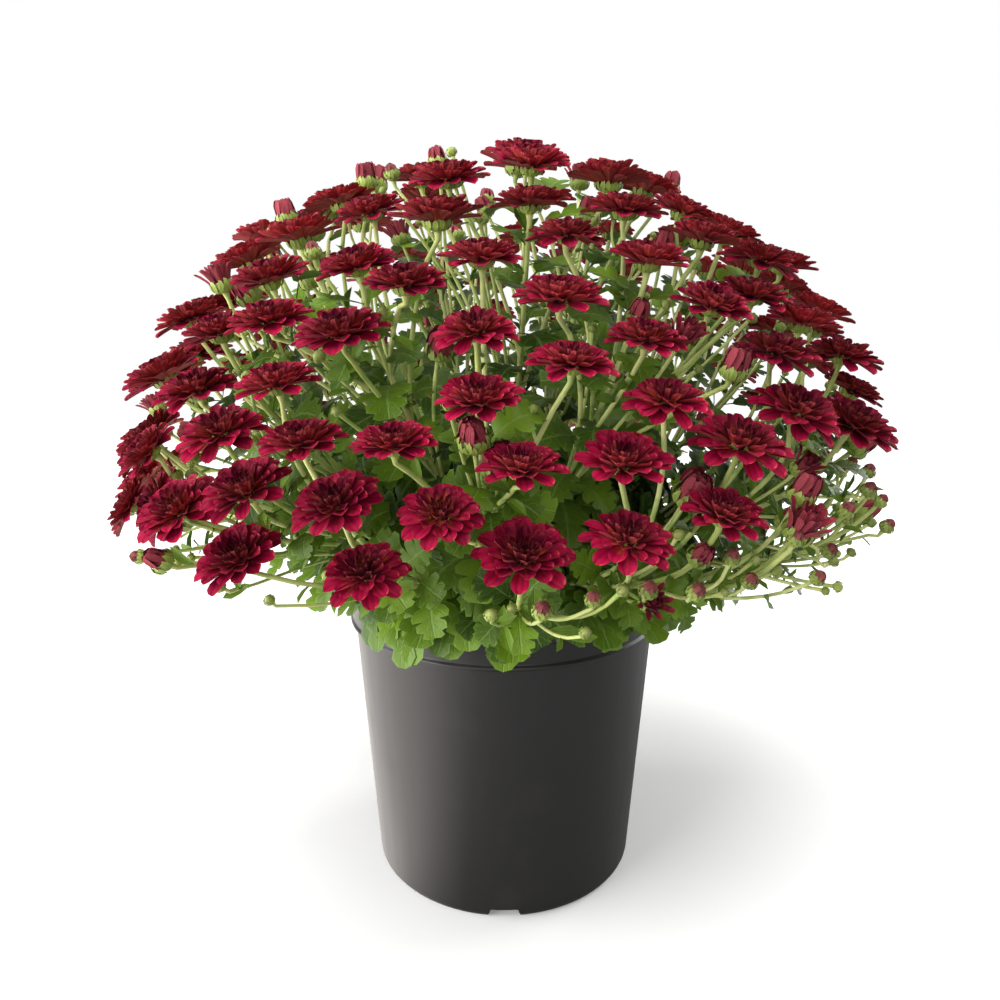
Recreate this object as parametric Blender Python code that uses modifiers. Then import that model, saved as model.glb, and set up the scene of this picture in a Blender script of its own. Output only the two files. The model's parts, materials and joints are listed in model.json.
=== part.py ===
"""Potted garden chrysanthemum: a nursery pot, its potting mix, and the flowering sprays that stand in it.

Metres, +Z up. The origin is on the surface that the pot stands on, under the middle of the plant.
"""

import math

import bmesh
import bpy
import numpy as np
from mathutils import Matrix, Vector

# Pot: a blow-moulded nursery pot, 168 mm across its rim
POT_HEIGHT = 0.160
RIM_RADIUS = 0.0840
BAND_TOP_HEIGHT = 0.1525
BAND_RADIUS = 0.0824
BEAD_HEIGHT = 0.1400
BEAD_PROUD = 0.0009
WALL_TOP_RADIUS = 0.0805
FOOT_RADIUS = 0.0712
FOOT_ROUND = 0.0020
WALL = 0.0014
FLOOR_UNDERSIDE = 0.0035
FLOOR_THICKNESS = 0.0016
FOOT_RING_WIDTH = 0.0060
STEP = 0.0012
BAND_FOOT = 0.0020
CORNER_HEIGHT = 0.0085
CORNER_WIDTH = 0.0030
POT_SIDES = 36
SLOT_COUNT = 3
SLOT_WIDTH = 0.0166
SLOT_HEIGHT = 0.0050
SLOT_DEPTH = 0.0110
SLOT_OVER = 0.0040
DRAIN_COUNT = 4
DRAIN_RADIUS = 0.0050
DRAIN_CIRCLE = 0.0360
DRAIN_SIDES = 8

# Potting mix
MIX_GAP = 0.0004
MIX_EDGE_HEIGHT = 0.1475
MIX_MOUND = 0.0025
MIX_FLAT_RADIUS = 0.0560
MIX_CORNER_HEIGHT = 0.0120
MIX_CORNER_WIDTH = 0.0050
HOLE_DEPTH = 0.0120
HOLE_GAP = 0.0004

# Dome of flowers: an upright ellipsoid, cut off below
DOME_CENTRE_HEIGHT = 0.2070
DOME_RADIUS = 0.1815
DOME_RISE = 0.1650
WIDEST_POLAR = 101.0
CROWN_RADIUS = 0.0460

# Flower heads, by how far each has opened
OPEN, HALF, COLOUR, GREEN = "open", "half_open", "coloured_bud", "green_bud"
HEAD_COUNT = {OPEN: 134, HALF: 30, COLOUR: 44, GREEN: 30}
HEAD_RADIUS = {OPEN: 0.0180, HALF: 0.0090, COLOUR: 0.0044, GREEN: 0.0032}
POLAR_LIMITS = {OPEN: (3, 88), HALF: (4, 90), COLOUR: (15, 92), GREEN: (25, 94)}
LIFT_LIMITS = {OPEN: (-4, 4), HALF: (4, 12), COLOUR: (-8, 8), GREEN: (-14, -2)}
HEAD_DROP = {OPEN: 0.35, HALF: 0.9, COLOUR: 1.0, GREEN: 1.0}
NECK_RADIUS = {OPEN: 0.0022, HALF: 0.0020, COLOUR: 0.0014, GREEN: 0.0012}
NECK_LENGTH = 0.0015
STALK_BEND = 0.58
LAST_RISE = 0.062
TILT_ON_TOP = 9.0
TILT_GAIN = 0.18
EDGE_GAIN = 1.4
LOOSE_SIDE = -61.0
LOOSE_WIDTH = 15.0
LOOSE_TILT = 34.0
SPACING = 0.93
STACKING = 1.5
HELD_SHARE = 0.25
SMALLEST_SHARE = 0.84
TRIES = 60
EASE_ROUNDS = 60
EASE_SHARE = 0.35
LEAST_GAP = 0.0015
SEED = 35

# Head shapes, in shares of the head's radius. A whorl is its petals, then the (radius, height) of tips and of notches
OUTER_WHORL = (8, (1.0, 0.30), (0.66, 0.24))
INNER_WHORL = (4, (0.62, 0.66), (0.38, 0.46))
OPEN_HEART = 0.42
CUP_WHORL = (5, (1.0, 1.65), (0.78, 1.0))
CUP_HEART = 0.9
BUD_WAIST = 0.9
BUD_SIDES = {COLOUR: 5, GREEN: 4}
BUD_TOP = {COLOUR: 2.3, GREEN: 1.7}

# The blooms that face the viewer: degrees round from the front, degrees down from the top
FRONT_BLOOMS = (
    (16, 12), (-48, 17), (12, 26), (31, 26), (-13, 27), (-63, 28), (50, 32), (-34, 34), (-11, 38), (6, 38),
    (23, 38), (67, 39), (-47, 40), (-69, 44), (10, 45), (34, 45), (68, 46), (21, 47), (-23, 48), (-4, 49),
    (-40, 52), (7, 52), (40, 52), (-14, 53), (67, 54), (24, 55), (-33, 57), (53, 57), (-46, 59), (-21, 59),
    (-3, 59), (17, 60), (8, 61), (39, 61), (-24, 64), (-48, 65), (-3, 65), (16, 66), (68, 68), (-11, 69),
    (38, 69), (-22, 70), (14, 71), (-37, 72), (27, 72), (1, 73), (-29, 76), (-54, 77), (-20, 77), (-6, 78),
    (13, 79), (23, 80), (-55, 84), (1, 84), (-16, 87), (-64, 86), (-66, 76), (-62, 66), (60, 62),
)

# How far down the open blooms reach, at degrees round from the front: higher on the right, where stems arch out bare
LOWEST_BLOOMS = (
    (-180, 84), (-90, 86), (-50, 88), (-10, 86), (12, 82), (28, 81), (45, 72), (80, 75), (110, 84), (180, 84),
)

# Sprays: each is one main stem with its side stalks
SPRAY_COUNT = 38
MOST_HEADS = 9
SHARING_ROUNDS = 12
ROOT_GAP = 0.0010
STEM_BASE_RADIUS = 0.0021
STEM_TOP_RADIUS = 0.0014
STALK_RADIUS = 0.0012
JOINT_HEIGHT = 0.0070
FIRST_JOINT = 0.42
JOINT_STEP = 0.11
STALKS_PER_JOINT = 2
STEM_RISE = 0.040
STEM_LEAN = 0.012

# Leaves: how far along the leaf, half its width and how far its lobes point forward, at each cut
LEAF_CUTS = (
    (0.24, 0.0010, 0.0), (0.44, 0.0084, 0.0030), (0.57, 0.0052, 0.0), (0.78, 0.0104, 0.0040),
)
LEAF_HALF_THICKNESS = 0.0006
OUTER_SPRAYS_FROM = 0.74
LEAF_SPREAD = 18.5
RIM_LEAF_SHARE = 0.055
RIM_LEAF_CROWN = (0.0840, 0.1760)
RIM_LEAF_TIP = (0.0980, 0.1460)
HANGING_LEAF_SHARE = 0.34
HANGING_LEAF_CROWN = (0.024, 0.003)
HANGING_LEAF_TIP = (0.044, -0.016)
UPRIGHT_LEAF_SHARE = 0.20
UPRIGHT_LEAF_LENGTH = 0.24
UPRIGHT_LEAF_OFFSET = 0.075

PETAL_RED = (0.22, 0.005, 0.02, 1.0)
STEM_GREEN = (0.30, 0.42, 0.14, 1.0)
POT_BLACK = (0.022, 0.020, 0.020, 1.0)
MIX_BROWN = (0.035, 0.022, 0.014, 1.0)


def clear_scene():
    for obj in list(bpy.data.objects):
        bpy.data.objects.remove(obj)


def material(name, colour, roughness):
    made = bpy.data.materials.new(name)
    made.use_nodes = True
    shader = made.node_tree.nodes["Principled BSDF"]
    shader.inputs["Base Color"].default_value = colour
    shader.inputs["Roughness"].default_value = roughness
    return made


def add_object(name, mesh, collection, finish=None):
    obj = bpy.data.objects.new(name, mesh)
    collection.objects.link(obj)
    if finish:
        mesh.materials.append(finish)
    return obj


def turned(name, profile, sides, collection, finish):
    """A profile of (radius, height) points, turned once round +Z."""
    mesh = bpy.data.meshes.new(name)
    points = [(radius, 0.0, height) for radius, height in profile]
    edges = [(i, i + 1) for i in range(len(points) - 1)]
    mesh.from_pydata(points, edges, [])
    obj = add_object(name, mesh, collection, finish)
    screw = obj.modifiers.new("turn", "SCREW")
    screw.steps = screw.render_steps = sides
    screw.use_merge_vertices = True
    screw.merge_threshold = 0.00001
    return obj


def cutter(name, primitive, collection, **settings):
    primitive(**settings)
    obj = bpy.context.object
    obj.name = name
    for holder in list(obj.users_collection):
        holder.objects.unlink(obj)
    collection.objects.link(obj)
    obj.hide_render = True
    obj.display_type = "WIRE"
    return obj


def cut(obj, cutters):
    boolean = obj.modifiers.new("cut", "BOOLEAN")
    boolean.operand_type = "COLLECTION"
    boolean.collection = cutters
    boolean.operation = "DIFFERENCE"


def wall_radius(height):
    """Outer radius of the pot's tapered wall, below the band."""
    return FOOT_RADIUS + (WALL_TOP_RADIUS - FOOT_RADIUS) * height / BEAD_HEIGHT


def make_pot(collection, cutters, finish):
    floor_top = FLOOR_UNDERSIDE + FLOOR_THICKNESS
    profile = (
        (RIM_RADIUS - WALL - STEP, POT_HEIGHT),
        (RIM_RADIUS, POT_HEIGHT - WALL / 4),
        (RIM_RADIUS, BAND_TOP_HEIGHT),
        (BAND_RADIUS, BAND_TOP_HEIGHT - STEP),
        (BAND_RADIUS, BEAD_HEIGHT + BEAD_PROUD),
        (BAND_RADIUS + BEAD_PROUD, BEAD_HEIGHT),
        (WALL_TOP_RADIUS, BEAD_HEIGHT - BAND_FOOT),
        (wall_radius(FOOT_ROUND), FOOT_ROUND),
        (FOOT_RADIUS - FOOT_ROUND, 0.0),
        (FOOT_RADIUS - FOOT_RING_WIDTH, 0.0),
        (FOOT_RADIUS - FOOT_RING_WIDTH - STEP, FLOOR_UNDERSIDE),
        (0.0, FLOOR_UNDERSIDE),
        (0.0, floor_top),
        (wall_radius(floor_top) - WALL - CORNER_WIDTH, floor_top),
        (inner_radius(CORNER_HEIGHT), CORNER_HEIGHT),
        (inner_radius(BEAD_HEIGHT - BAND_FOOT), BEAD_HEIGHT - BAND_FOOT),
        (RIM_RADIUS - WALL - STEP, POT_HEIGHT),
    )
    pot = turned("pot", profile, POT_SIDES, collection, finish)
    for i in range(SLOT_COUNT):
        turn = -math.pi / 2 + 2 * math.pi * i / SLOT_COUNT
        middle = FOOT_RADIUS + SLOT_OVER / 2 - SLOT_DEPTH / 2
        slot = cutter(
            f"slot_cutter_{i + 1}", bpy.ops.mesh.primitive_cube_add, cutters, size=1.0,
            location=(middle * math.cos(turn), middle * math.sin(turn), 0.0), rotation=(0.0, 0.0, turn),
        )
        slot.scale = (SLOT_DEPTH + SLOT_OVER, SLOT_WIDTH, 2 * SLOT_HEIGHT)
    for i in range(DRAIN_COUNT):
        turn = 2 * math.pi * (i + 0.5) / DRAIN_COUNT
        cutter(
            f"drain_cutter_{i + 1}", bpy.ops.mesh.primitive_cylinder_add, cutters, vertices=DRAIN_SIDES,
            radius=DRAIN_RADIUS, depth=4 * (FLOOR_UNDERSIDE + FLOOR_THICKNESS),
            location=(DRAIN_CIRCLE * math.cos(turn), DRAIN_CIRCLE * math.sin(turn), 0.0),
        )
    cut(pot, cutters)
    return pot


def inner_radius(height):
    """Inner radius of the pot at a height above its floor."""
    low, high = CORNER_HEIGHT, BEAD_HEIGHT - BAND_FOOT
    share = (height - low) / (high - low)
    return wall_radius(low) * (1 - share) + WALL_TOP_RADIUS * share - WALL


def make_mix(collection, cutters, finish, sprays):
    floor_top = FLOOR_UNDERSIDE + FLOOR_THICKNESS + MIX_GAP
    profile = (
        (0.0, MIX_EDGE_HEIGHT + MIX_MOUND),
        (MIX_FLAT_RADIUS, MIX_EDGE_HEIGHT + MIX_MOUND),
        (inner_radius(MIX_EDGE_HEIGHT) - 2 * MIX_GAP, MIX_EDGE_HEIGHT),
        (inner_radius(MIX_CORNER_HEIGHT) - 2 * MIX_GAP, MIX_CORNER_HEIGHT),
        (inner_radius(MIX_CORNER_HEIGHT) - MIX_CORNER_WIDTH, floor_top),
        (0.0, floor_top),
    )
    mix = turned("potting_mix", profile, POT_SIDES, collection, finish)
    for i, spray in enumerate(sprays):
        x, y, _ = flow_point(spray["at"], 0.0)
        cutter(
            f"hole_cutter_{i + 1}", bpy.ops.mesh.primitive_cylinder_add, cutters, vertices=4,
            radius=STEM_BASE_RADIUS + 2 * HOLE_GAP, depth=2 * HOLE_DEPTH,
            location=(x, y, MIX_EDGE_HEIGHT + MIX_MOUND), rotation=(0.0, 0.0, stem_turn(spray)),
        )
    cut(mix, cutters)
    return mix


def outward(azimuth):
    """Level direction at degrees round from the front, which is -Y."""
    a = math.radians(azimuth)
    return Vector((math.sin(a), -math.cos(a), 0.0))


def plane_of(azimuth, polar):
    """A head's place in the flat plan of the dome: the top is the middle, and the lowest heads are at 1."""
    return outward(azimuth).to_2d() * (polar / WIDEST_POLAR)


def polar_of(at):
    return at.length * WIDEST_POLAR


def azimuth_of(at):
    return math.degrees(math.atan2(at.x, -at.y))


def dome_point(at, lift=0.0):
    """A point on the dome, or lift above it."""
    polar = math.radians(polar_of(at))
    level = outward(azimuth_of(at))
    normal = level * math.sin(polar) / DOME_RADIUS + Vector((0, 0, math.cos(polar) / DOME_RISE))
    middle = Vector((0, 0, DOME_CENTRE_HEIGHT))
    surface = level * DOME_RADIUS * math.sin(polar) + Vector((0, 0, DOME_RISE * math.cos(polar)))
    return middle + surface + normal.normalized() * lift


def facing(at, wobble=(0.0, 0.0)):
    """The direction that a head on the dome faces: well up nearly everywhere, and out at the lower edge."""
    polar, azimuth = polar_of(at), azimuth_of(at)
    share_of_side = math.exp(-(((azimuth - LOOSE_SIDE) / LOOSE_WIDTH) ** 2))
    loose = LOOSE_TILT * share_of_side * min(1.0, max(0.0, (polar - 66) / 18))
    tilt = math.radians(TILT_ON_TOP + TILT_GAIN * polar + EDGE_GAIN * max(0.0, polar - 80) + loose + wobble[0])
    level = outward(azimuth + wobble[1])
    return level * math.sin(tilt) + Vector((0, 0, math.cos(tilt)))


def flow_point(at, share):
    """Where the plant's stems run: share 0 is at the potting mix and share 1 on the dome.

    Two different places in the plan never meet on the way up, so stems that keep to their own cells stay clear.
    """
    level = outward(azimuth_of(at))
    reach = at.length
    start = level * CROWN_RADIUS * reach + Vector((0, 0, MIX_EDGE_HEIGHT + MIX_MOUND))
    rise = start + level * STEM_LEAN * reach + Vector((0, 0, STEM_RISE))
    end = dome_point(at)
    below = end - facing(at) * LAST_RISE
    s, r = share, 1.0 - share
    return start * r**3 + rise * 3 * r * r * s + below * 3 * r * s * s + end * s**3


def lowest(kind, azimuth):
    """The greatest polar angle for a head of one kind on this side of the plant."""
    limit = POLAR_LIMITS[kind][1]
    if kind in (COLOUR, GREEN):
        return limit
    sides, angles = zip(*LOWEST_BLOOMS)
    return float(np.interp(azimuth, sides, angles)) + limit - POLAR_LIMITS[OPEN][1]


def stacked(step):
    """A step between two heads, longer in height: heads that face up can sit closer above each other than beside."""
    return Vector((step.x, step.y, step.z * STACKING))


def spread(rng, heads, kind, count):
    """Adds heads of one kind in the widest gaps: each is the best of many random candidates."""
    for _ in range(count):
        best, best_room = None, -1.0
        for _ in range(TRIES):
            azimuth = rng.uniform(-180.0, 180.0)
            low, high = (math.cos(math.radians(p)) for p in (POLAR_LIMITS[kind][0], lowest(kind, azimuth)))
            polar = math.degrees(math.acos(rng.uniform(high, low)))
            at = plane_of(azimuth, polar)
            point = dome_point(at)
            room = min((stacked(point - h["point"]).length - h["radius"] for h in heads), default=1.0)
            if room > best_room:
                best, best_room = at, room
        heads.append(new_head(rng, kind, best))


def new_head(rng, kind, at):
    low, high = LIFT_LIMITS[kind]
    return {
        "kind": kind,
        "at": at,
        "point": dome_point(at),
        "radius": HEAD_RADIUS[kind] * rng.uniform(0.92, 1.08),
        "lift": 0.001 * rng.uniform(low, high),
        "wobble": (rng.uniform(-9.0, 9.0), rng.uniform(-9.0, 9.0)),
        "give": 1.0,
    }


def ease_apart(heads):
    """Moves heads that are too close away from each other, along the dome."""
    radii = np.array([h["radius"] for h in heads])
    give = np.array([h["give"] for h in heads])
    wanted = SPACING * (radii[:, None] + radii[None]) + LEAST_GAP
    for _ in range(EASE_ROUNDS):
        points = np.array([h["point"] for h in heads])
        apart = (points[:, None] - points[None]) * (1.0, 1.0, STACKING)
        distance = np.linalg.norm(apart, axis=2) + np.eye(len(heads))
        push = np.clip(wanted - distance, 0.0, None) * (1 - np.eye(len(heads)))
        moves = (apart / distance[..., None] * push[..., None]).sum(axis=1) * give[:, None] * EASE_SHARE
        for head, move in zip(heads, moves):
            moved = head["point"] + Vector(move) - Vector((0, 0, DOME_CENTRE_HEIGHT))
            flat = Vector((moved.x / DOME_RADIUS, moved.y / DOME_RADIUS, moved.z / DOME_RISE)).normalized()
            azimuth = math.degrees(math.atan2(flat.x, -flat.y))
            low, high = POLAR_LIMITS[head["kind"]][0], lowest(head["kind"], azimuth)
            head["at"] = plane_of(azimuth, min(max(math.degrees(math.acos(flat.z)), low), high))
            head["point"] = dome_point(head["at"])


def fit_radii(heads):
    """Keeps each open bloom's petals short of the heads round it. Two open blooms share the room between them."""
    for head in heads:
        if head["kind"] == OPEN:
            near = min(
                distance - (head["radius"] + h["radius"]) / 2 if h["kind"] == OPEN else distance - h["radius"]
                for h, distance in ((h, stacked(h["point"] - head["point"]).length) for h in heads if h is not head)
            )
            head["radius"] *= min(1.0, max(SMALLEST_SHARE, near / head["radius"]))


def plan_heads():
    """Every flower head of the plant: its kind, its place on the dome, its size and how it is turned."""
    rng = np.random.default_rng(SEED)
    heads = [new_head(rng, OPEN, plane_of(*place)) for place in FRONT_BLOOMS]
    for head in heads:
        head["give"] = HELD_SHARE
    spread(rng, heads, OPEN, HEAD_COUNT[OPEN] - len(heads))
    for kind in (HALF, COLOUR, GREEN):
        spread(rng, heads, kind, HEAD_COUNT[kind])
    ease_apart(heads)
    fit_radii(heads)
    return heads


def plan_sprays(heads):
    """Shares the heads out to sprays by the nearest stem in the plan of the dome."""
    golden = math.pi * (3 - math.sqrt(5))
    centres = [
        Vector((math.cos(i * golden), math.sin(i * golden))) * math.sqrt((i + 0.5) / SPRAY_COUNT)
        for i in range(SPRAY_COUNT)
    ]
    for _ in range(SHARING_ROUNDS):
        groups = [[] for _ in centres]
        ranked = [sorted(range(SPRAY_COUNT), key=lambda i: (head["at"] - centres[i]).length) for head in heads]
        order = sorted(range(len(heads)), key=lambda k: (heads[k]["at"] - centres[ranked[k][0]]).length)
        for k in order:
            group = next(groups[i] for i in ranked[k] if len(groups[i]) < MOST_HEADS)
            group.append(heads[k])
        centres = [sum((h["at"] for h in g), Vector((0, 0))) / len(g) if g else c for g, c in zip(groups, centres)]
    sprays = []
    for group, centre in zip(groups, centres):
        if not group:
            continue
        group.sort(key=lambda h: (h["kind"] != OPEN, (h["at"] - centre).length))
        sprays.append({"at": group[0]["at"], "top": group[0], "sides": group[1:]})
    return sprays


def spread_outer_leaves(sprays):
    """Gives each outer spray the direction of its leaves, eased apart from those of the sprays beside it."""
    outer = sorted((s for s in sprays if s["at"].length > OUTER_SPRAYS_FROM), key=lambda s: azimuth_of(s["at"]))
    ways = np.array([azimuth_of(s["at"]) for s in outer])
    for _ in range(EASE_ROUNDS):
        gaps = (np.roll(ways, -1) - ways) % 360
        push = np.clip(LEAF_SPREAD - gaps, 0.0, None) * EASE_SHARE
        ways = ways - push + np.roll(push, 1)
    for spray, way in zip(outer, ways):
        spray["leaf_way"] = float(way)


def stem_turn(spray):
    return math.radians(azimuth_of(spray["at"]))


def ring(bm, centre, axis, first, radius, count):
    """A ring of points round an axis, the first of them towards a given direction."""
    across = (first - axis * first.dot(axis)).normalized()
    over = axis.cross(across)
    return [
        bm.verts.new(centre + (across * math.cos(a) + over * math.sin(a)) * radius)
        for a in (2 * math.pi * i / count for i in range(count))
    ]


def loft(bm, low, high):
    """Faces between two rings that may have unlike numbers of points."""
    n, m = len(low), len(high)
    i = j = 0
    while i < n or j < m:
        if j < m and (i == n or (j + 0.5) / m <= (i + 0.5) / n):
            bm.faces.new((low[i % n], high[(j + 1) % m], high[j % m]))
            j += 1
        else:
            bm.faces.new((low[i % n], low[(i + 1) % n], high[j % m]))
            i += 1


def close_over(bm, edge, apex):
    """A fan of faces from a ring up to one point."""
    tip = bm.verts.new(apex)
    for i, vert in enumerate(edge):
        bm.faces.new((vert, edge[(i + 1) % len(edge)], tip))


def star_ring(bm, base, axis, first, whorl, size):
    """A whorl's outline: a petal's tip, then the notch beside it, and so on round."""
    petals, tip, notch = whorl
    across = (first - axis * first.dot(axis)).normalized()
    over = axis.cross(across)
    points = []
    for i in range(2 * petals):
        radius, height = notch if i % 2 else tip
        a = math.pi * i / petals
        step = axis * height + (across * math.cos(a) + over * math.sin(a)) * radius
        points.append(bm.verts.new(base + step * size))
    return points


def add_head(bm, neck, head):
    """Builds a flower head on the ring of points at its stalk's end."""
    kind, size = head["kind"], head["radius"]
    base, axis = head_base(head), facing(head["at"], head["wobble"])
    first = neck[0].co - base
    if kind == OPEN:
        outer = star_ring(bm, base, axis, first, OUTER_WHORL, size)
        inner = star_ring(bm, base, axis, first, INNER_WHORL, size)
        loft(bm, neck, outer)
        loft(bm, outer, inner)
        close_over(bm, inner, base + axis * OPEN_HEART * size)
    elif kind == HALF:
        rim = star_ring(bm, base, axis, first, CUP_WHORL, size)
        loft(bm, neck, rim)
        close_over(bm, rim, base + axis * CUP_HEART * size)
    else:
        waist = ring(bm, base + axis * BUD_WAIST * size, axis, first, size, BUD_SIDES[kind])
        loft(bm, neck, waist)
        close_over(bm, waist, base + axis * BUD_TOP[kind] * size)


def head_base(head):
    """Where the stalk meets the head: a little below the dome."""
    drop = HEAD_DROP[head["kind"]] * head["radius"]
    axis = facing(head["at"], head["wobble"])
    return dome_point(head["at"], head["lift"]) - axis * drop


def take_quad(quads, direction):
    """Takes the quad that looks most nearly in a direction out of the list, to grow something from its corners."""
    best = max(quads, key=lambda quad: quad_normal(quad).dot(direction))
    quads.remove(best)
    return best


def quad_normal(quad):
    a, b, c, d = (v.co for v in quad)
    return (c - a).cross(d - b).normalized()


def side_quads(low, high):
    """The four side quads between two four-point rings, not yet made into faces."""
    return [(low[i], low[(i + 1) % 4], high[(i + 1) % 4], high[i]) for i in range(4)]


def start_at(quad, direction):
    """The corners of a quad in turn, from the one that is furthest in a direction."""
    corners = list(quad)
    lead = max(range(len(corners)), key=lambda i: corners[i].co.dot(direction))
    return corners[lead:] + corners[:lead]


def grow_stalk(bm, quad, spray, head, joint_share):
    """A side stalk from a joint of the main stem to a head, with one bend on its way."""
    axis = facing(head["at"], head["wobble"])
    base = head_base(head)
    middle_share = joint_share + STALK_BEND * (1 - joint_share)
    plan = spray["at"].lerp(head["at"], STALK_BEND)
    bend = flow_point(plan, middle_share)
    start = sum((v.co for v in quad), Vector()) / 4
    opening = start_at(quad, Vector((0, 0, 1)))
    first = opening[0].co - start
    low = ring(bm, bend, (base - start).normalized(), first, STALK_RADIUS, 3)
    loft(bm, opening, low)
    neck = ring(bm, base - axis * NECK_LENGTH, axis, first, NECK_RADIUS[head["kind"]], 3)
    loft(bm, low, neck)
    add_head(bm, neck, head)


def over_rim(spray, start):
    """A leaf's path from low on an outer stem, over the pot's rim and down outside it."""
    level = outward(spray["leaf_way"])
    crown = level * RIM_LEAF_CROWN[0] + Vector((0, 0, RIM_LEAF_CROWN[1]))
    tip = level * RIM_LEAF_TIP[0] + Vector((0, 0, RIM_LEAF_TIP[1]))
    return lambda share: start * (1 - share) ** 2 + crown * 2 * share * (1 - share) + tip * share**2


def hanging(spray, start):
    """A leaf's path from under an outer stem, out and then down."""
    level = outward(spray["leaf_way"])
    crown = start + level * HANGING_LEAF_CROWN[0] + Vector((0, 0, HANGING_LEAF_CROWN[1]))
    tip = start + level * HANGING_LEAF_TIP[0] + Vector((0, 0, HANGING_LEAF_TIP[1]))
    return lambda share: start * (1 - share) ** 2 + crown * 2 * share * (1 - share) + tip * share**2


def upright(spray, start):
    """A leaf's path up beside its own stem, with its face outwards."""
    radial = outward(azimuth_of(spray["at"])).to_2d()

    def place(share):
        away = UPRIGHT_LEAF_OFFSET * min(1.0, 2.5 * share)
        beside = flow_point(spray["at"] + radial * away, UPRIGHT_LEAF_SHARE + UPRIGHT_LEAF_LENGTH * share)
        return start.lerp(beside, min(1.0, 5 * share))

    return place


def grow_leaf(bm, quad, spray, path):
    """A leaf with cut edges, along a path: a petiole, then a blade with two pairs of lobes and a tip."""
    level = outward(spray.get("leaf_way", azimuth_of(spray["at"])))
    across = Vector((0, 0, 1)).cross(level)
    start = sum((v.co for v in quad), Vector()) / 4
    place = path(spray, start)
    edge = start_at(quad, across)
    for share, half_width, lead in LEAF_CUTS:
        here = place(share)
        ahead = (place(share + 0.02) - place(share - 0.02)).normalized()
        up = ahead.cross(across)
        cut_points = [
            bm.verts.new(here + across * half_width + ahead * lead),
            bm.verts.new(here + up * LEAF_HALF_THICKNESS),
            bm.verts.new(here - across * half_width + ahead * lead),
            bm.verts.new(here - up * LEAF_HALF_THICKNESS),
        ]
        loft(bm, edge, cut_points)
        edge = cut_points
    close_over(bm, edge, place(1.0))


def make_spray(number, spray, collection, finish):
    """One spray: a main stem from the potting mix to its top bloom, with side stalks, heads and leaves."""
    bm = bmesh.new()
    at, top = spray["at"], spray["top"]
    radial = outward(azimuth_of(at))
    root = flow_point(at, 0.0)
    sides = sorted(spray["sides"], key=lambda h: -(h["at"] - at).length)
    joints = []
    if at.length > OUTER_SPRAYS_FROM:
        joints.append((RIM_LEAF_SHARE, over_rim, []))
        joints.append((HANGING_LEAF_SHARE, hanging, []))
    else:
        joints.append((UPRIGHT_LEAF_SHARE, upright, []))
    levels = math.ceil(len(sides) / STALKS_PER_JOINT)
    for level in range(levels):
        group = sides[level * len(sides) // levels:(level + 1) * len(sides) // levels]
        joints.append((FIRST_JOINT + level * JOINT_STEP, None, group))

    def up_along(share):
        return (flow_point(at, share + 0.01) - flow_point(at, share - 0.01)).normalized()

    def stem_ring(centre, axis, radius):
        return ring(bm, centre, axis, radial, radius, 4)

    up = Vector((0, 0, 1))
    low = stem_ring(root - up * (HOLE_DEPTH - ROOT_GAP), up, STEM_BASE_RADIUS)
    bm.faces.new(reversed(low))
    mouth = stem_ring(root + up * ROOT_GAP, up, STEM_BASE_RADIUS)
    loft(bm, low, mouth)
    low = mouth
    waiting = []
    for share, leaf_path, group in joints:
        radius = STEM_BASE_RADIUS + (STEM_TOP_RADIUS - STEM_BASE_RADIUS) * share
        axis = up_along(share)
        centre = flow_point(at, share)
        lower = stem_ring(centre - axis * JOINT_HEIGHT / 2, axis, radius)
        upper = stem_ring(centre + axis * JOINT_HEIGHT / 2, axis, radius * 0.95)
        loft(bm, low, lower)
        quads = side_quads(lower, upper)
        if leaf_path:
            waiting.append((grow_leaf, take_quad(quads, radial), leaf_path))
        for head in group:
            toward = flow_point(at.lerp(head["at"], STALK_BEND), share + STALK_BEND * (1 - share)) - centre
            quad = take_quad(quads, (toward - axis * toward.dot(axis)).normalized())
            waiting.append((grow_stalk, quad, (head, share)))
        for quad in quads:
            bm.faces.new(quad)
        low = upper
    axis = facing(at, top["wobble"])
    neck = ring(bm, head_base(top) - axis * NECK_LENGTH, axis, radial, NECK_RADIUS[top["kind"]], 3)
    loft(bm, low, neck)
    add_head(bm, neck, top)
    for grow, quad, more in waiting:
        if grow is grow_leaf:
            grow_leaf(bm, quad, spray, more)
        else:
            grow_stalk(bm, quad, spray, *more)
    mesh = bpy.data.meshes.new(f"spray_{number:02d}")
    bm.to_mesh(mesh)
    bm.free()
    return add_object(mesh.name, mesh, collection, finish)


def new_collection(name):
    made = bpy.data.collections.new(name)
    bpy.context.scene.collection.children.link(made)
    return made


def main():
    clear_scene()
    plant = new_collection("pot_chrysanthemum")
    pot_cutters = new_collection("pot_cutters")
    mix_cutters = new_collection("mix_cutters")
    black = material("black_plastic", POT_BLACK, 0.42)
    brown = material("potting_mix", MIX_BROWN, 0.95)
    green = material("plant", STEM_GREEN, 0.55)
    heads = plan_heads()
    sprays = plan_sprays(heads)
    spread_outer_leaves(sprays)
    make_pot(plant, pot_cutters, black)
    make_mix(plant, mix_cutters, brown, sprays)
    for number, spray in enumerate(sprays, start=1):
        make_spray(number, spray, plant, green)


main()
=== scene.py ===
# %% [markdown]
# Garden chrysanthemum in a nursery pot. The real object is a pot-grown autumn chrysanthemum: about 130
# double dark red blooms, with buds of every age, on pale branching stems, over toothed green leaves, in a
# black blow-moulded pot. A plant looks hopeless to model until its rules are found. This lesson uses three
# of them: the flower heads keep their distance on a dome, the stems flow from the pot to that dome, and
# each head sets its petals in a spiral.

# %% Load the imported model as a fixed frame
import json
import math

import bmesh
import bpy
import numpy as np
from mathutils import Matrix, Vector

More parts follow.
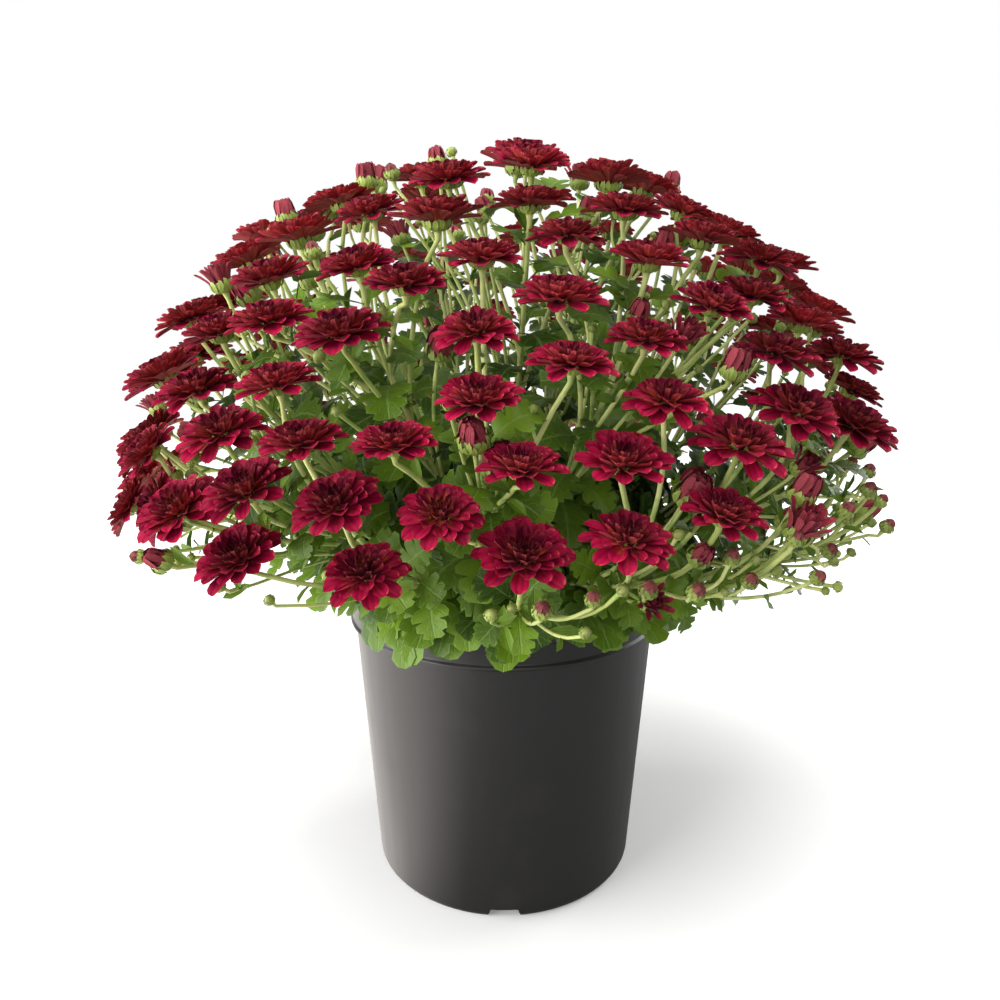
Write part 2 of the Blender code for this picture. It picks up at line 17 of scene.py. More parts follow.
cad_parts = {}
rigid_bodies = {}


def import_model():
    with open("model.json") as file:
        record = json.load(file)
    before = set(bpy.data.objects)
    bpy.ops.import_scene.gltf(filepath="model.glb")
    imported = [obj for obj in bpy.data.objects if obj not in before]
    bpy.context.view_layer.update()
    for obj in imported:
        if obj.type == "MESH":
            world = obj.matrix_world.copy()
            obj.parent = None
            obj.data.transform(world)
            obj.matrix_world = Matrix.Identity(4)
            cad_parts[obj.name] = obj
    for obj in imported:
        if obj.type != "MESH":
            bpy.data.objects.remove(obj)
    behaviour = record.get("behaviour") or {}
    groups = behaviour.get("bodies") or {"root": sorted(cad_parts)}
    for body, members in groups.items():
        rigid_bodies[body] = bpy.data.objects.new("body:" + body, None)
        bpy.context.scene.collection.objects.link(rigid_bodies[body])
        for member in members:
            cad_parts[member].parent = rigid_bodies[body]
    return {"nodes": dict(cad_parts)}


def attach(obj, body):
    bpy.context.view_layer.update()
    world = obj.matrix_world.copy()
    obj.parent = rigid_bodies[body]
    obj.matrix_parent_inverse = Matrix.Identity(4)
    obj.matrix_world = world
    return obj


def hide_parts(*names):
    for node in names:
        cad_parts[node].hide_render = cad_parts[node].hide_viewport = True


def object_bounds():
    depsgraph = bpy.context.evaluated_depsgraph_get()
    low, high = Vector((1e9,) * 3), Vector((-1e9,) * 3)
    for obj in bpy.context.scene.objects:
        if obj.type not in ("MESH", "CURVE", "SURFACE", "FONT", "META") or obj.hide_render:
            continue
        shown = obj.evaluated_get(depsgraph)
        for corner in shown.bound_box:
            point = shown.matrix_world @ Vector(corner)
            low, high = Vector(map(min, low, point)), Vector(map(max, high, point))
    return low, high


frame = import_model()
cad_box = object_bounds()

print("CAD nodes:", len(frame["nodes"]), "in the box", cad_box)

# %% [markdown]
# The camera comes first, because every later choice is judged through it. It stands a little above the rim
# of the pot and close by, so the dome of flowers bulges towards the lens. The lens and the tilt were fitted
# to the ellipses of the pot's rim and foot.

# %% Camera
CAMERA_PLACE = (-0.0022, -0.434, 0.299)
CAMERA_TILT = math.radians(90 - 12.68)
CAMERA_LENS = 29.8
SENSOR_WIDTH = 36
camera = bpy.data.objects.new("camera", bpy.data.cameras.new("camera"))
bpy.context.scene.collection.objects.link(camera)
camera.location = CAMERA_PLACE
camera.rotation_euler = (CAMERA_TILT, 0, 0)
camera.data.lens = CAMERA_LENS
camera.data.sensor_width = SENSOR_WIDTH
bpy.context.scene.camera = camera
print("camera at", CAMERA_PLACE)

# %% [markdown]
# The plan of the plant is the same rule that the CAD solids follow, so every bloom lands on its solid. The
# dome is an upright ellipsoid. A head's place on it is kept as a point in a flat plan: the middle is the
# top of the plant and the edge is its lowest ring. Heads could be scattered at random, but then they clump.
# Here each new head takes the widest gap, and all are then eased apart, as real blooms push each other
# aside.

# %% The dome and its measures
DOME_CENTRE_HEIGHT = 0.2070
DOME_RADIUS = 0.1815
DOME_RISE = 0.1650
WIDEST_POLAR = 101.0
CROWN_RADIUS = 0.0460
MIX_TOP = 0.1500
OPEN, HALF, COLOUR, GREEN = "open", "half_open", "coloured_bud", "green_bud"
HEAD_COUNT = {OPEN: 134, HALF: 30, COLOUR: 44, GREEN: 30}
HEAD_RADIUS = {OPEN: 0.0180, HALF: 0.0090, COLOUR: 0.0044, GREEN: 0.0032}
POLAR_LIMITS = {OPEN: (3, 88), HALF: (4, 90), COLOUR: (15, 92), GREEN: (25, 94)}
LIFT_LIMITS = {OPEN: (-4, 4), HALF: (4, 12), COLOUR: (-8, 8), GREEN: (-14, -2)}
HEAD_DROP = {OPEN: 0.35, HALF: 0.9, COLOUR: 1.0, GREEN: 1.0}
LAST_RISE = 0.062
STEM_RISE = 0.040
STEM_LEAN = 0.012
SEED = 35
UP = Vector((0, 0, 1))


def outward(azimuth):
    """Level direction at degrees round from the front, which is -Y."""
    a = math.radians(azimuth)
    return Vector((math.sin(a), -math.cos(a), 0.0))


def plane_of(azimuth, polar):
    """A head's place in the flat plan of the dome."""
    return outward(azimuth).to_2d() * (polar / WIDEST_POLAR)


def azimuth_of(at):
    return math.degrees(math.atan2(at.x, -at.y))


def dome_point(at, lift=0.0):
    """A point on the dome, or lift above it."""
    polar = math.radians(at.length * WIDEST_POLAR)
    level = outward(azimuth_of(at))
    normal = level * math.sin(polar) / DOME_RADIUS + UP * (math.cos(polar) / DOME_RISE)
    middle = UP * DOME_CENTRE_HEIGHT
    surface = middle + level * DOME_RADIUS * math.sin(polar) + UP * (DOME_RISE * math.cos(polar))
    return surface + normal.normalized() * lift


# %% [markdown]
# Heads near the top look straight up, and those low on the sides lean out. On the left the real plant has a
# looser side, where blooms hang further over. The tilt is a few simple terms added up, so each can be
# turned off. The stems follow one smooth curve from the pot to any place on the dome.

# %% Which way a head faces, and the way the stems flow
TILT_ON_TOP = 9.0
TILT_GAIN = 0.18
EDGE_GAIN = 1.4
EDGE_FROM = 80
LOOSE_SIDE = -61.0
LOOSE_WIDTH = 15.0
LOOSE_TILT = 34.0
LOOSE_FROM = 66
LOOSE_BLEND = 18


def facing(at, wobble=(0.0, 0.0)):
    """The direction that a head on the dome faces."""
    polar, azimuth = at.length * WIDEST_POLAR, azimuth_of(at)
    share_of_side = math.exp(-(((azimuth - LOOSE_SIDE) / LOOSE_WIDTH) ** 2))
    loose = LOOSE_TILT * share_of_side * min(1.0, max(0.0, (polar - LOOSE_FROM) / LOOSE_BLEND))
    edge = EDGE_GAIN * max(0.0, polar - EDGE_FROM)
    tilt = math.radians(TILT_ON_TOP + TILT_GAIN * polar + edge + loose + wobble[0])
    return outward(azimuth + wobble[1]) * math.sin(tilt) + UP * math.cos(tilt)


def flow_point(at, share):
    """Where stems run: share 0 is at the potting mix and share 1 on the dome, along a smooth curve."""
    level = outward(azimuth_of(at))
    start = level * CROWN_RADIUS * at.length + UP * MIX_TOP
    rise = start + level * STEM_LEAN * at.length + UP * STEM_RISE
    end = dome_point(at)
    below = end - facing(at) * LAST_RISE
    s, r = share, 1.0 - share
    return start * r**3 + rise * 3 * r * r * s + below * 3 * r * s * s + end * s**3


# %% [markdown]
# The blooms that face the viewer were read from the photograph, as two angles each: degrees round
# from the front and degrees down from the top. Only these are listed one by one, because the rest of the
# dome is out of sight, and a rule can fill it.

# %% Landmark blooms
FRONT_BLOOMS = (
    (16, 12), (-48, 17), (12, 26), (31, 26), (-13, 27), (-63, 28), (50, 32), (-34, 34), (-11, 38), (6, 38),
    (23, 38), (67, 39), (-47, 40), (-69, 44), (10, 45), (34, 45), (68, 46), (21, 47), (-23, 48), (-4, 49),
    (-40, 52), (7, 52), (40, 52), (-14, 53), (67, 54), (24, 55), (-33, 57), (53, 57), (-46, 59), (-21, 59),
    (-3, 59), (17, 60), (8, 61), (39, 61), (-24, 64), (-48, 65), (-3, 65), (16, 66), (68, 68), (-11, 69),
    (38, 69), (-22, 70), (14, 71), (-37, 72), (27, 72), (1, 73), (-29, 76), (-54, 77), (-20, 77), (-6, 78),
    (13, 79), (23, 80), (-55, 84), (1, 84), (-16, 87), (-64, 86), (-66, 76), (-62, 66), (60, 62),
)
LOWEST_BLOOMS = (
    (-180, 84), (-90, 86), (-50, 88), (-10, 86), (12, 82), (28, 81), (45, 72), (80, 75), (110, 84), (180, 84),
)
print(len(FRONT_BLOOMS), "landmark blooms")

# %% [markdown]
# The other heads are dealt one by one. For each, many places are tried at random, and the one with the most
# room is kept. The dome ends lower on some sides than on others, so the lowest ring is a curve.

# %% Fill the gaps with heads
STACKING = 1.5
TRIES = 60
RADIUS_VARIES = (0.92, 1.08)
MOST_WOBBLE = 9.0
MILLIMETRE = 0.001


def lowest(kind, azimuth):
    """The greatest polar angle for a head of one kind on this side of the plant."""
    limit = POLAR_LIMITS[kind][1]
    if kind in (COLOUR, GREEN):
        return limit
    sides, angles = zip(*LOWEST_BLOOMS)
    return float(np.interp(azimuth, sides, angles)) + limit - POLAR_LIMITS[OPEN][1]


def stacked(step):
    """A step between two heads, longer in height, where heads that face up sit closer together."""
    return Vector((step.x, step.y, step.z * STACKING))


def new_head(rng, kind, at):
    low, high = LIFT_LIMITS[kind]
    return {
        "kind": kind,
        "at": at,
        "point": dome_point(at),
        "radius": HEAD_RADIUS[kind] * rng.uniform(*RADIUS_VARIES),
        "lift": MILLIMETRE * rng.uniform(low, high),
        "wobble": (rng.uniform(-MOST_WOBBLE, MOST_WOBBLE), rng.uniform(-MOST_WOBBLE, MOST_WOBBLE)),
        "give": 1.0,
    }


def spread(rng, heads, kind, count):
    """Adds heads of one kind in the widest gaps: each is the best of many random candidates."""
    for _ in range(count):
        best, best_room = None, -1.0
        for _ in range(TRIES):
            azimuth = rng.uniform(-180.0, 180.0)
            limits = (POLAR_LIMITS[kind][0], lowest(kind, azimuth))
            low, high = (math.cos(math.radians(p)) for p in limits)
            at = plane_of(azimuth, math.degrees(math.acos(rng.uniform(high, low))))
            point = dome_point(at)
            room = min((stacked(point - h["point"]).length - h["radius"] for h in heads), default=1.0)
            if room > best_room:
                best, best_room = at, room
        heads.append(new_head(rng, kind, best))


print("open blooms go down to", lowest(OPEN, 0.0), "degrees at the front")

# %% [markdown]
# Then all heads are eased apart, round by round: each pair that is too close takes a small step away from
# each other. The landmarks give way less, so that they keep their places. A bloom that is still hemmed in
# is made a little smaller.

# %% Ease the heads apart
SPACING = 0.93
LEAST_GAP = 0.0015
HELD_SHARE = 0.25
SMALLEST_SHARE = 0.84
EASE_ROUNDS = 60
EASE_SHARE = 0.35


def ease_apart(heads):
    """Moves heads that are too close away from each other, along the dome."""
    radii = np.array([h["radius"] for h in heads])
    give = np.array([h["give"] for h in heads])
    wanted = SPACING * (radii[:, None] + radii[None]) + LEAST_GAP
    for _ in range(EASE_ROUNDS):
        points = np.array([h["point"] for h in heads])
        apart = (points[:, None] - points[None]) * (1.0, 1.0, STACKING)
        distance = np.linalg.norm(apart, axis=2) + np.eye(len(heads))
        push = np.clip(wanted - distance, 0.0, None) * (1 - np.eye(len(heads)))
        moves = (apart / distance[..., None] * push[..., None]).sum(axis=1) * give[:, None] * EASE_SHARE
        for head, move in zip(heads, moves):
            moved = head["point"] + Vector(move) - UP * DOME_CENTRE_HEIGHT
            flat = Vector((moved.x / DOME_RADIUS, moved.y / DOME_RADIUS, moved.z / DOME_RISE)).normalized()
            azimuth = math.degrees(math.atan2(flat.x, -flat.y))
            low, high = POLAR_LIMITS[head["kind"]][0], lowest(head["kind"], azimuth)
            head["at"] = plane_of(azimuth, min(max(math.degrees(math.acos(flat.z)), low), high))
            head["point"] = dome_point(head["at"])


def fit_radii(heads):
    """Keeps each open bloom's petals short of the heads round it. Open blooms share the room between them."""
    for head in (h for h in heads if h["kind"] == OPEN):
        rooms = []
        for other in (h for h in heads if h is not head):
            distance = stacked(other["point"] - head["point"]).length
            shared = (head["radius"] + other["radius"]) / 2
            rooms.append(distance - (shared if other["kind"] == OPEN else other["radius"]))
        head["radius"] *= min(1.0, max(SMALLEST_SHARE, min(rooms) / head["radius"]))


def plan_heads():
    """Every flower head of the plant: its kind, its place on the dome, its size and how it is turned."""
    rng = np.random.default_rng(SEED)
    heads = [new_head(rng, OPEN, plane_of(*place)) for place in FRONT_BLOOMS]
    for head in heads:
        head["give"] = HELD_SHARE
    spread(rng, heads, OPEN, HEAD_COUNT[OPEN] - len(heads))
    for kind in (HALF, COLOUR, GREEN):
        spread(rng, heads, kind, HEAD_COUNT[kind])
    ease_apart(heads)
    fit_radii(heads)
    return heads


heads = plan_heads()
print("heads:", {kind: sum(h["kind"] == kind for h in heads) for kind in HEAD_COUNT})

# %% [markdown]
# A spray is one main stem with the side stalks that branch from it. On the real plant a stem ends in a
# bloom, and the buds round it stand on side shoots. Heads are shared out to sprays by nearness in the flat
# plan, which keeps stems from crossing, because two places in the plan never meet on the way up from the
# pot.

# %% Share the heads out to sprays
SPRAY_COUNT = 38
MOST_HEADS = 9
SHARING_ROUNDS = 12
GOLDEN_ANGLE = math.pi * (3 - math.sqrt(5))


def shared_out(heads, centres):
    """Gives each head to the nearest centre that has room. The surest heads choose first."""
    groups = [[] for _ in centres]
    ranked = [sorted(range(len(centres)), key=lambda i: (head["at"] - centres[i]).length) for head in heads]
    order = sorted(range(len(heads)), key=lambda k: (heads[k]["at"] - centres[ranked[k][0]]).length)
    for k in order:
        next(groups[i] for i in ranked[k] if len(groups[i]) < MOST_HEADS).append(heads[k])
    return groups


def plan_sprays(heads):
    """Groups the heads by the nearest stem in the plan, with a limit to how many one stem carries."""
    turns = [i * GOLDEN_ANGLE for i in range(SPRAY_COUNT)]
    centres = [
        Vector((math.cos(turn), math.sin(turn))) * math.sqrt((i + 0.5) / SPRAY_COUNT)
        for i, turn in enumerate(turns)
    ]
    for _ in range(SHARING_ROUNDS):
        groups = shared_out(heads, centres)
        centres = [
            sum((h["at"] for h in group), Vector((0, 0))) / len(group) if group else centre
            for group, centre in zip(groups, centres)
        ]
    sprays = []
    for group, centre in zip(groups, centres):
        if group:
            group.sort(key=lambda h: (h["kind"] != OPEN, (h["at"] - centre).length))
            sprays.append({"at": group[0]["at"], "top": group[0], "sides": group[1:]})
    return sprays


sprays = plan_sprays(heads)
print(len(sprays), "sprays")

# %% [markdown]
# The outer sprays also carry long leaves that reach out over the pot. Stems that stand side by side would
# put them on top of each other, so their directions are eased apart round the ring, as the heads were.

# %% Outer sprays turn their leaves apart
OUTER_SPRAYS_FROM = 0.74
LEAF_SPREAD = 18.5


def spread_outer_leaves(sprays):
    """Gives each outer spray the direction of its leaves, eased apart from those of the sprays beside it."""
    outer = [s for s in sprays if s["at"].length > OUTER_SPRAYS_FROM]
    outer.sort(key=lambda s: azimuth_of(s["at"]))
    ways = np.array([azimuth_of(s["at"]) for s in outer])
    for _ in range(EASE_ROUNDS):
        gaps = (np.roll(ways, -1) - ways) % 360
        push = np.clip(LEAF_SPREAD - gaps, 0.0, None) * EASE_SHARE
        ways = ways - push + np.roll(push, 1)
    for spray, way in zip(outer, ways):
        spray["leaf_way"] = float(way)


spread_outer_leaves(sprays)
print("outer sprays:", sum("leaf_way" in spray for spray in sprays))


# %% [markdown]
# Small helpers keep every later cell short. Node trees are built in the script, so each has named inputs
# and can be run again with other numbers. The first helpers add nodes and do arithmetic with them.

# %% Helpers for node trees


def add(tree, kind, inputs=None, **settings):
    """Adds a node. Its inputs are numbers, or outputs of other nodes to be linked."""
    node = tree.nodes.new(kind)
    for name, value in settings.items():
        setattr(node, name, value)
    for key, value in (inputs or {}).items():
        if isinstance(value, bpy.types.NodeSocket):
            tree.links.new(value, node.inputs[key])
        else:
            node.inputs[key].default_value = value
    return node


def calc(tree, operation, a, b=0.0):
    """One step of arithmetic on one or two values."""
    return add(tree, "ShaderNodeMath", {0: a, 1: b}, operation=operation).outputs[0]


def times(tree, a, *factors):
    """A value multiplied by each of the others in turn."""
    for factor in factors:
        a = calc(tree, "MULTIPLY", a, factor)
    return a


def plus(tree, a, b):
    """The sum of two values."""
    return calc(tree, "ADD", a, b)


def minus(tree, a, b):
    """The first value less the second."""
    return calc(tree, "SUBTRACT", a, b)


def between(tree, share, low, high):
    """A value that goes from low to high with a share from 0 to 1."""
    return plus(tree, times(tree, share, minus(tree, high, low)), low)


def random_value(tree, low, high, seed, step, index):
    """A different random number for each copy, fixed by a seed."""
    node = add(tree, "FunctionNodeRandomValue", {2: low, 3: high, "ID": index}, data_type="FLOAT")
    tree.links.new(plus(tree, seed, step), node.inputs["Seed"])
    return node.outputs[1]


def named(tree, geometry, name, value):
    """Stores a value on each copy, for a material to read."""
    inputs = {"Geometry": geometry, "Name": name, "Value": value}
    kind = "GeometryNodeStoreNamedAttribute"
    return add(tree, kind, inputs, data_type="FLOAT", domain="INSTANCE").outputs[0]


def stored(tree, name, data_type):
    """A value that was stored on the geometry before."""
    return add(tree, "GeometryNodeInputNamedAttribute", {"Name": name}, data_type=data_type).outputs[0]


def shapes_of(tree, collection):
    """The shapes of a kit, each apart, so that one can be picked by number."""
    inputs = {"Collection": collection, "Separate Children": True, "Reset Children": True}
    return add(tree, "GeometryNodeCollectionInfo", inputs).outputs[0]


def painted(tree, geometry, material, result):
    """Ends a tree: the material is set and the geometry goes to the output."""
    inputs = {"Geometry": geometry, "Material": material}
    tree.links.new(add(tree, "GeometryNodeSetMaterial", inputs).outputs[0], result["Geometry"])


def new_tree(name, kind, inputs, outputs):
    """A node tree with named inputs and outputs, and the nodes that stand for them."""
    tree = bpy.data.node_groups.new(name, kind)
    for label, socket_type, value in inputs:
        socket = tree.interface.new_socket(label, in_out="INPUT", socket_type="NodeSocket" + socket_type)
        if value is not None:
            socket.default_value = value
    for label, socket_type in outputs:
        tree.interface.new_socket(label, in_out="OUTPUT", socket_type="NodeSocket" + socket_type)
    return tree, tree.nodes.new("NodeGroupInput").outputs, tree.nodes.new("NodeGroupOutput").inputs


print("node helpers ready in Blender", bpy.app.version_string)

# %% [markdown]
# A tree runs once as a modifier, its result is copied to a plain mesh, and the modifier is thrown away, so
# that the finished plant holds nothing but meshes. Every finished piece rides on the one body of the model,
# and the solids that it stands for are hidden.

# %% Helpers for objects and pieces
ROOT = "root"
scene_collection = bpy.context.scene.collection
all_sprays = sorted(name for name in frame["nodes"] if name.startswith("spray"))


def new_object(name, data):
    """A new object in the scene, from its mesh or its light."""
    obj = bpy.data.objects.new(name, data)
    scene_collection.objects.link(obj)
    return obj


def mesh_of(name, points, faces, sharp=None):
    """A mesh from lists, shaded smooth, with edges sharper than an angle in degrees kept crisp."""
    mesh = bpy.data.meshes.new(name)
    mesh.from_pydata([tuple(p) for p in points], [], faces)
    mesh.update()
    mesh.shade_smooth()
    if sharp:
        mesh.set_sharp_from_angle(angle=math.radians(sharp))
    return mesh


def plain_copy(obj):
    """The mesh of an object with its modifiers applied."""
    bpy.context.view_layer.update()
    return bpy.data.meshes.new_from_object(obj.evaluated_get(bpy.context.evaluated_depsgraph_get()))


def mesh_from(bm, name):
    """A mesh from a finished bmesh, which is freed."""
    mesh = bpy.data.meshes.new(name)
    bm.to_mesh(mesh)
    bm.free()
    return mesh


def write_values(mesh, name, data_type, values):
    """Stores one value, or one vector, on each point of a mesh."""
    key = "vector" if data_type == "FLOAT_VECTOR" else "value"
    mesh.attributes.new(name, data_type, "POINT").data.foreach_set(key, values)


def grow(name, tree, values, mesh):
    """Runs a Geometry Nodes tree once on a mesh and returns the result as a plain mesh."""
    holder = new_object(name, mesh)
    modifier = holder.modifiers.new("grow", "NODES")
    modifier.node_group = tree
    sockets = {item.name: item.identifier for item in tree.interface.items_tree if item.in_out == "INPUT"}
    for label, value in values.items():
        modifier[sockets[label]] = value
    made = plain_copy(holder)
    bpy.data.objects.remove(holder)
    made.name = name
    return made


def triangles(mesh):
    """How many triangles a mesh has."""
    mesh.calc_loop_triangles()
    return len(mesh.loop_triangles)


def finish_piece(name, mesh, nodes):
    """Makes a mesh a piece of the plant: it rides on the one body and stands for these CAD nodes."""
    obj = new_object(name, mesh)
    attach(obj, ROOT)
    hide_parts(*nodes)
    print(f"{name}: {triangles(mesh)} triangles")


def kit(name, meshes):
    """A collection of shapes that a tree picks from by number. It is never part of the scene."""
    made = bpy.data.collections.new(name)
    for i, mesh in enumerate(meshes):
        made.objects.link(bpy.data.objects.new(f"{name}_{i:02d}", mesh))
    return made


def retire(collection):
    """Removes a kit of shapes once the trees that picked from it have run."""
    for obj in list(collection.objects):
        bpy.data.objects.remove(obj)
    bpy.data.collections.remove(collection)


print(len(all_sprays), "solids of sprays to stand for")

# %% [markdown]
# Everything in a chrysanthemum that sits round a middle sits in a spiral: the petals of a bloom, the scales
# of the green cup under it, the folded petals of a bud. Each next one is turned by the golden angle, about
# 137.5 degrees, so no two ever line up. A ring of equal copies would be easier, but it looks like a toy
# flower. This tree takes the number of petals and the look of the first and the last, and works out all
# those between.

# %% Geometry Nodes tree: a spiral of petals or scales
spiral, given, result = new_tree(
    "spiral_of_petals", "GeometryNodeTree",
    [
        ("Geometry", "Geometry", None), ("Shapes", "Collection", None),
        ("Kinds", "Int", 8), ("Count", "Int", 60),
        ("Inner Ring", "Float", 0.05), ("Outer Ring", "Float", 0.2), ("Ring Bulge", "Float", 0.0),
        ("Inner Height", "Float", 0.3), ("Outer Height", "Float", 0.25),
        ("Inner Tilt", "Float", 0.3), ("Outer Tilt", "Float", 1.5), ("Tilt Curve", "Float", 1.0),
        ("Inner Size", "Float", 0.4), ("Outer Size", "Float", 0.9), ("Size Curve", "Float", 1.0),
        ("Jitter", "Float", 0.1), ("Seed", "Int", 1), ("Material", "Material", None),
    ],
    [("Geometry", "Geometry")],
)
index = add(spiral, "GeometryNodeInputIndex").outputs[0]
share = calc(spiral, "DIVIDE", index, minus(spiral, given["Count"], 1.0))
print("spiral tree takes", len(given) - 1, "inputs")

# %% [markdown]
# Each petal's turn, tilt, size and place follow from its share of the way from the first to the last. The
# jitter adds a little chance to all of them, from a fixed seed, so that no bloom looks machined.

# %% The numbers of one petal
SIZE_JITTER = 0.6
HEIGHT_JITTER = 0.1


def from_first_to_last(what, curve=None):
    """A petal's own tilt, size, ring or height, between the first petal's and the last one's."""
    along = calc(spiral, "POWER", share, given[curve]) if curve else share
    return between(spiral, along, given["Inner " + what], given["Outer " + what])


loose = {
    name: times(spiral, random_value(spiral, -1.0, 1.0, given["Seed"], step, index), given["Jitter"])
    for step, name in enumerate(("turn", "tilt", "size", "roll", "height"))
}
turn = plus(spiral, times(spiral, index, GOLDEN_ANGLE), loose["turn"])
tilt = plus(spiral, from_first_to_last("Tilt", "Tilt Curve"), loose["tilt"])
grown = plus(spiral, 1.0, times(spiral, loose["size"], SIZE_JITTER))
size = times(spiral, from_first_to_last("Size", "Size Curve"), grown)
arch = times(spiral, share, minus(spiral, 1.0, share), 4.0)
ring = plus(spiral, from_first_to_last("Ring"), times(spiral, arch, given["Ring Bulge"]))
height = plus(spiral, from_first_to_last("Height"), times(spiral, loose["height"], HEIGHT_JITTER))
place = add(spiral, "ShaderNodeCombineXYZ", {
    0: times(spiral, calc(spiral, "COSINE", turn), ring),
    1: times(spiral, calc(spiral, "SINE", turn), ring),
    2: height,
}).outputs[0]
aim = add(spiral, "ShaderNodeCombineXYZ", {
    0: minus(spiral, math.pi / 2, tilt), 1: loose["roll"], 2: minus(spiral, turn, math.pi / 2),
}).outputs[0]
print("numbers of a petal:", len(spiral.nodes), "nodes")

# %% [markdown]
# The shapes of a kit are stood on the points of the spiral: the first petals take the first shape and the
# last ones the last. Two values stay on each copy for the materials, its place in the spiral and a random
# tone. Copies are made real at the end, because the finished piece is a plain mesh.

# %% Stand the shapes on the spiral
PETAL_TONE_STEP = 7.0
points = add(spiral, "GeometryNodePoints", {"Count": given["Count"], "Position": place}).outputs[0]
kind = calc(spiral, "FLOOR", times(spiral, share, minus(spiral, given["Kinds"], 0.01)))
copies = add(spiral, "GeometryNodeInstanceOnPoints", {
    "Points": points, "Instance": shapes_of(spiral, given["Shapes"]), "Pick Instance": True,
    "Instance Index": kind, "Rotation": aim, "Scale": size,
}).outputs[0]
copies = named(spiral, copies, "whorl", share)
petal_tone = random_value(spiral, 0.0, 1.0, given["Seed"], PETAL_TONE_STEP, index)
copies = named(spiral, copies, "petal_tone", petal_tone)
realised = add(spiral, "GeometryNodeRealizeInstances", {0: copies}).outputs[0]
joined = add(spiral, "GeometryNodeJoinGeometry", {0: realised})
spiral.links.new(given["Geometry"], joined.inputs[0])
painted(spiral, joined.outputs[0], given["Material"], result)
print("spiral tree:", len(spiral.nodes), "nodes")

# %% [markdown]
# The second tree stands ready-made shapes on points: blooms on stalk ends, cups under blooms, bracts on
# stems, crumbs on the potting mix. Each point carries its own direction, size and shape number, worked out
# in Python, and the tree does the copying, which is quick even for thousands.

# %% Geometry Nodes tree: copies on points
HEAD_TONE_STEP = 3.0
stand, given, result = new_tree(
    "copies_on_points", "GeometryNodeTree",
    [
        ("Geometry", "Geometry", None), ("Shapes", "Collection", None),
        ("Seed", "Int", 1), ("Material", "Material", None),
    ],
    [("Geometry", "Geometry")],
)
copies = add(stand, "GeometryNodeInstanceOnPoints", {
    "Points": given["Geometry"], "Instance": shapes_of(stand, given["Shapes"]), "Pick Instance": True,
    "Instance Index": stored(stand, "kind", "INT"), "Rotation": stored(stand, "aim", "FLOAT_VECTOR"),
    "Scale": stored(stand, "size", "FLOAT_VECTOR"),
}).outputs[0]
index = add(stand, "GeometryNodeInputIndex").outputs[0]
head_tone = random_value(stand, 0.0, 1.0, given["Seed"], HEAD_TONE_STEP, index)
copies = named(stand, copies, "head_tone", head_tone)
realised = add(stand, "GeometryNodeRealizeInstances", {0: copies}).outputs[0]
painted(stand, realised, given["Material"], result)
print("copies tree:", len(stand.nodes), "nodes")

# %% [markdown]
# Each place is worked out in Python, with the turn that points a shape along its stalk, or lays a leaf's
# length along a direction. The points carry these as stored values, and the tree reads them.

# %% Places for the copies


def spun(axis, spin):
    """The turn that points a shape's +Z along an axis, spun about it."""
    return axis.to_track_quat("Z", "Y") @ Matrix.Rotation(spin, 3, "Z").to_quaternion()


def laid(along, face):
    """The turn that lays a blade's length along one direction, with its face towards another."""
    side = along.cross(face).normalized()
    up = side.cross(along)
    return Matrix((side, along.normalized(), up.normalized())).transposed().to_quaternion()


def point_mesh(name, places):
    """Points for the copies tree, from (place, turn, size, shape number) each."""
    mesh = bpy.data.meshes.new(name)
    mesh.from_pydata([tuple(place) for place, *_ in places], [], [])
    turns = [angle for _, turn, _, _ in places for angle in turn.to_euler("XYZ")]
    write_values(mesh, "aim", "FLOAT_VECTOR", turns)
    write_values(mesh, "size", "FLOAT_VECTOR", [size for _, _, size, _ in places for _ in range(3)])
    write_values(mesh, "kind", "INT", [kind for *_, kind in places])
    return mesh


def stand_piece(name, places, meshes, material, seed, slot="plant", nodes=all_sprays):
    """Stands copies of some shapes on a list of places, as one finished piece."""
    shapes = kit(name + "_shape", meshes)
    values = {"Shapes": shapes, "Seed": seed, "Material": material}
    made = grow(name, stand, values, point_mesh(name + "_points", places))
    retire(shapes)
    finish_piece(name, made, nodes)


print("a shape turned to face +Y:", spun(Vector((0, 1, 0)), 0.0))

# %% [markdown]
# Effects that several finishes share are shader node groups, built once. One mottles a surface with two
# sizes of noise. The other reads a petal's own map: how far along it a point is, how far out to its edge,
# its lengthwise ribs, and whether the point is on its back. The groups give out masks only, and each
# material keeps its colours.

# %% Helpers for colours


def colour_mix(tree, factor, a, b, blend="MIX"):
    """Two colours mixed by a share. A colour is a node's output or three numbers."""
    a, b = (c if isinstance(c, bpy.types.NodeSocket) else (*c, 1.0) for c in (a, b))
    node = add(tree, "ShaderNodeMix", {0: factor, 6: a, 7: b}, data_type="RGBA", blend_type=blend)
    return node.outputs[2]


def ramp(tree, value, low, high):
    """0 below one value and 1 above another, with a soft step between."""
    inputs = {0: value, 1: low, 2: high, 3: 0.0, 4: 1.0}
    return add(tree, "ShaderNodeMapRange", inputs, interpolation_type="SMOOTHSTEP").outputs[0]


def shade(tree, colour, value, amount):
    """Multiplies a colour by up to one share more or less, as a mask goes from 0 to 1."""
    level = between(tree, value, 1.0 - amount, 1.0 + amount)
    return colour_mix(tree, 1.0, colour, grey(tree, level), "MULTIPLY")


def grey(tree, level):
    """A grey, from one value."""
    return add(tree, "ShaderNodeCombineXYZ", {0: level, 1: level, 2: level}).outputs[0]


print("colour helpers ready")

# %% [markdown]
# The petal's map holds how far along a point is and how far across. On the back of the blade it is shifted
# sideways by two widths, so one map tells the two sides apart.

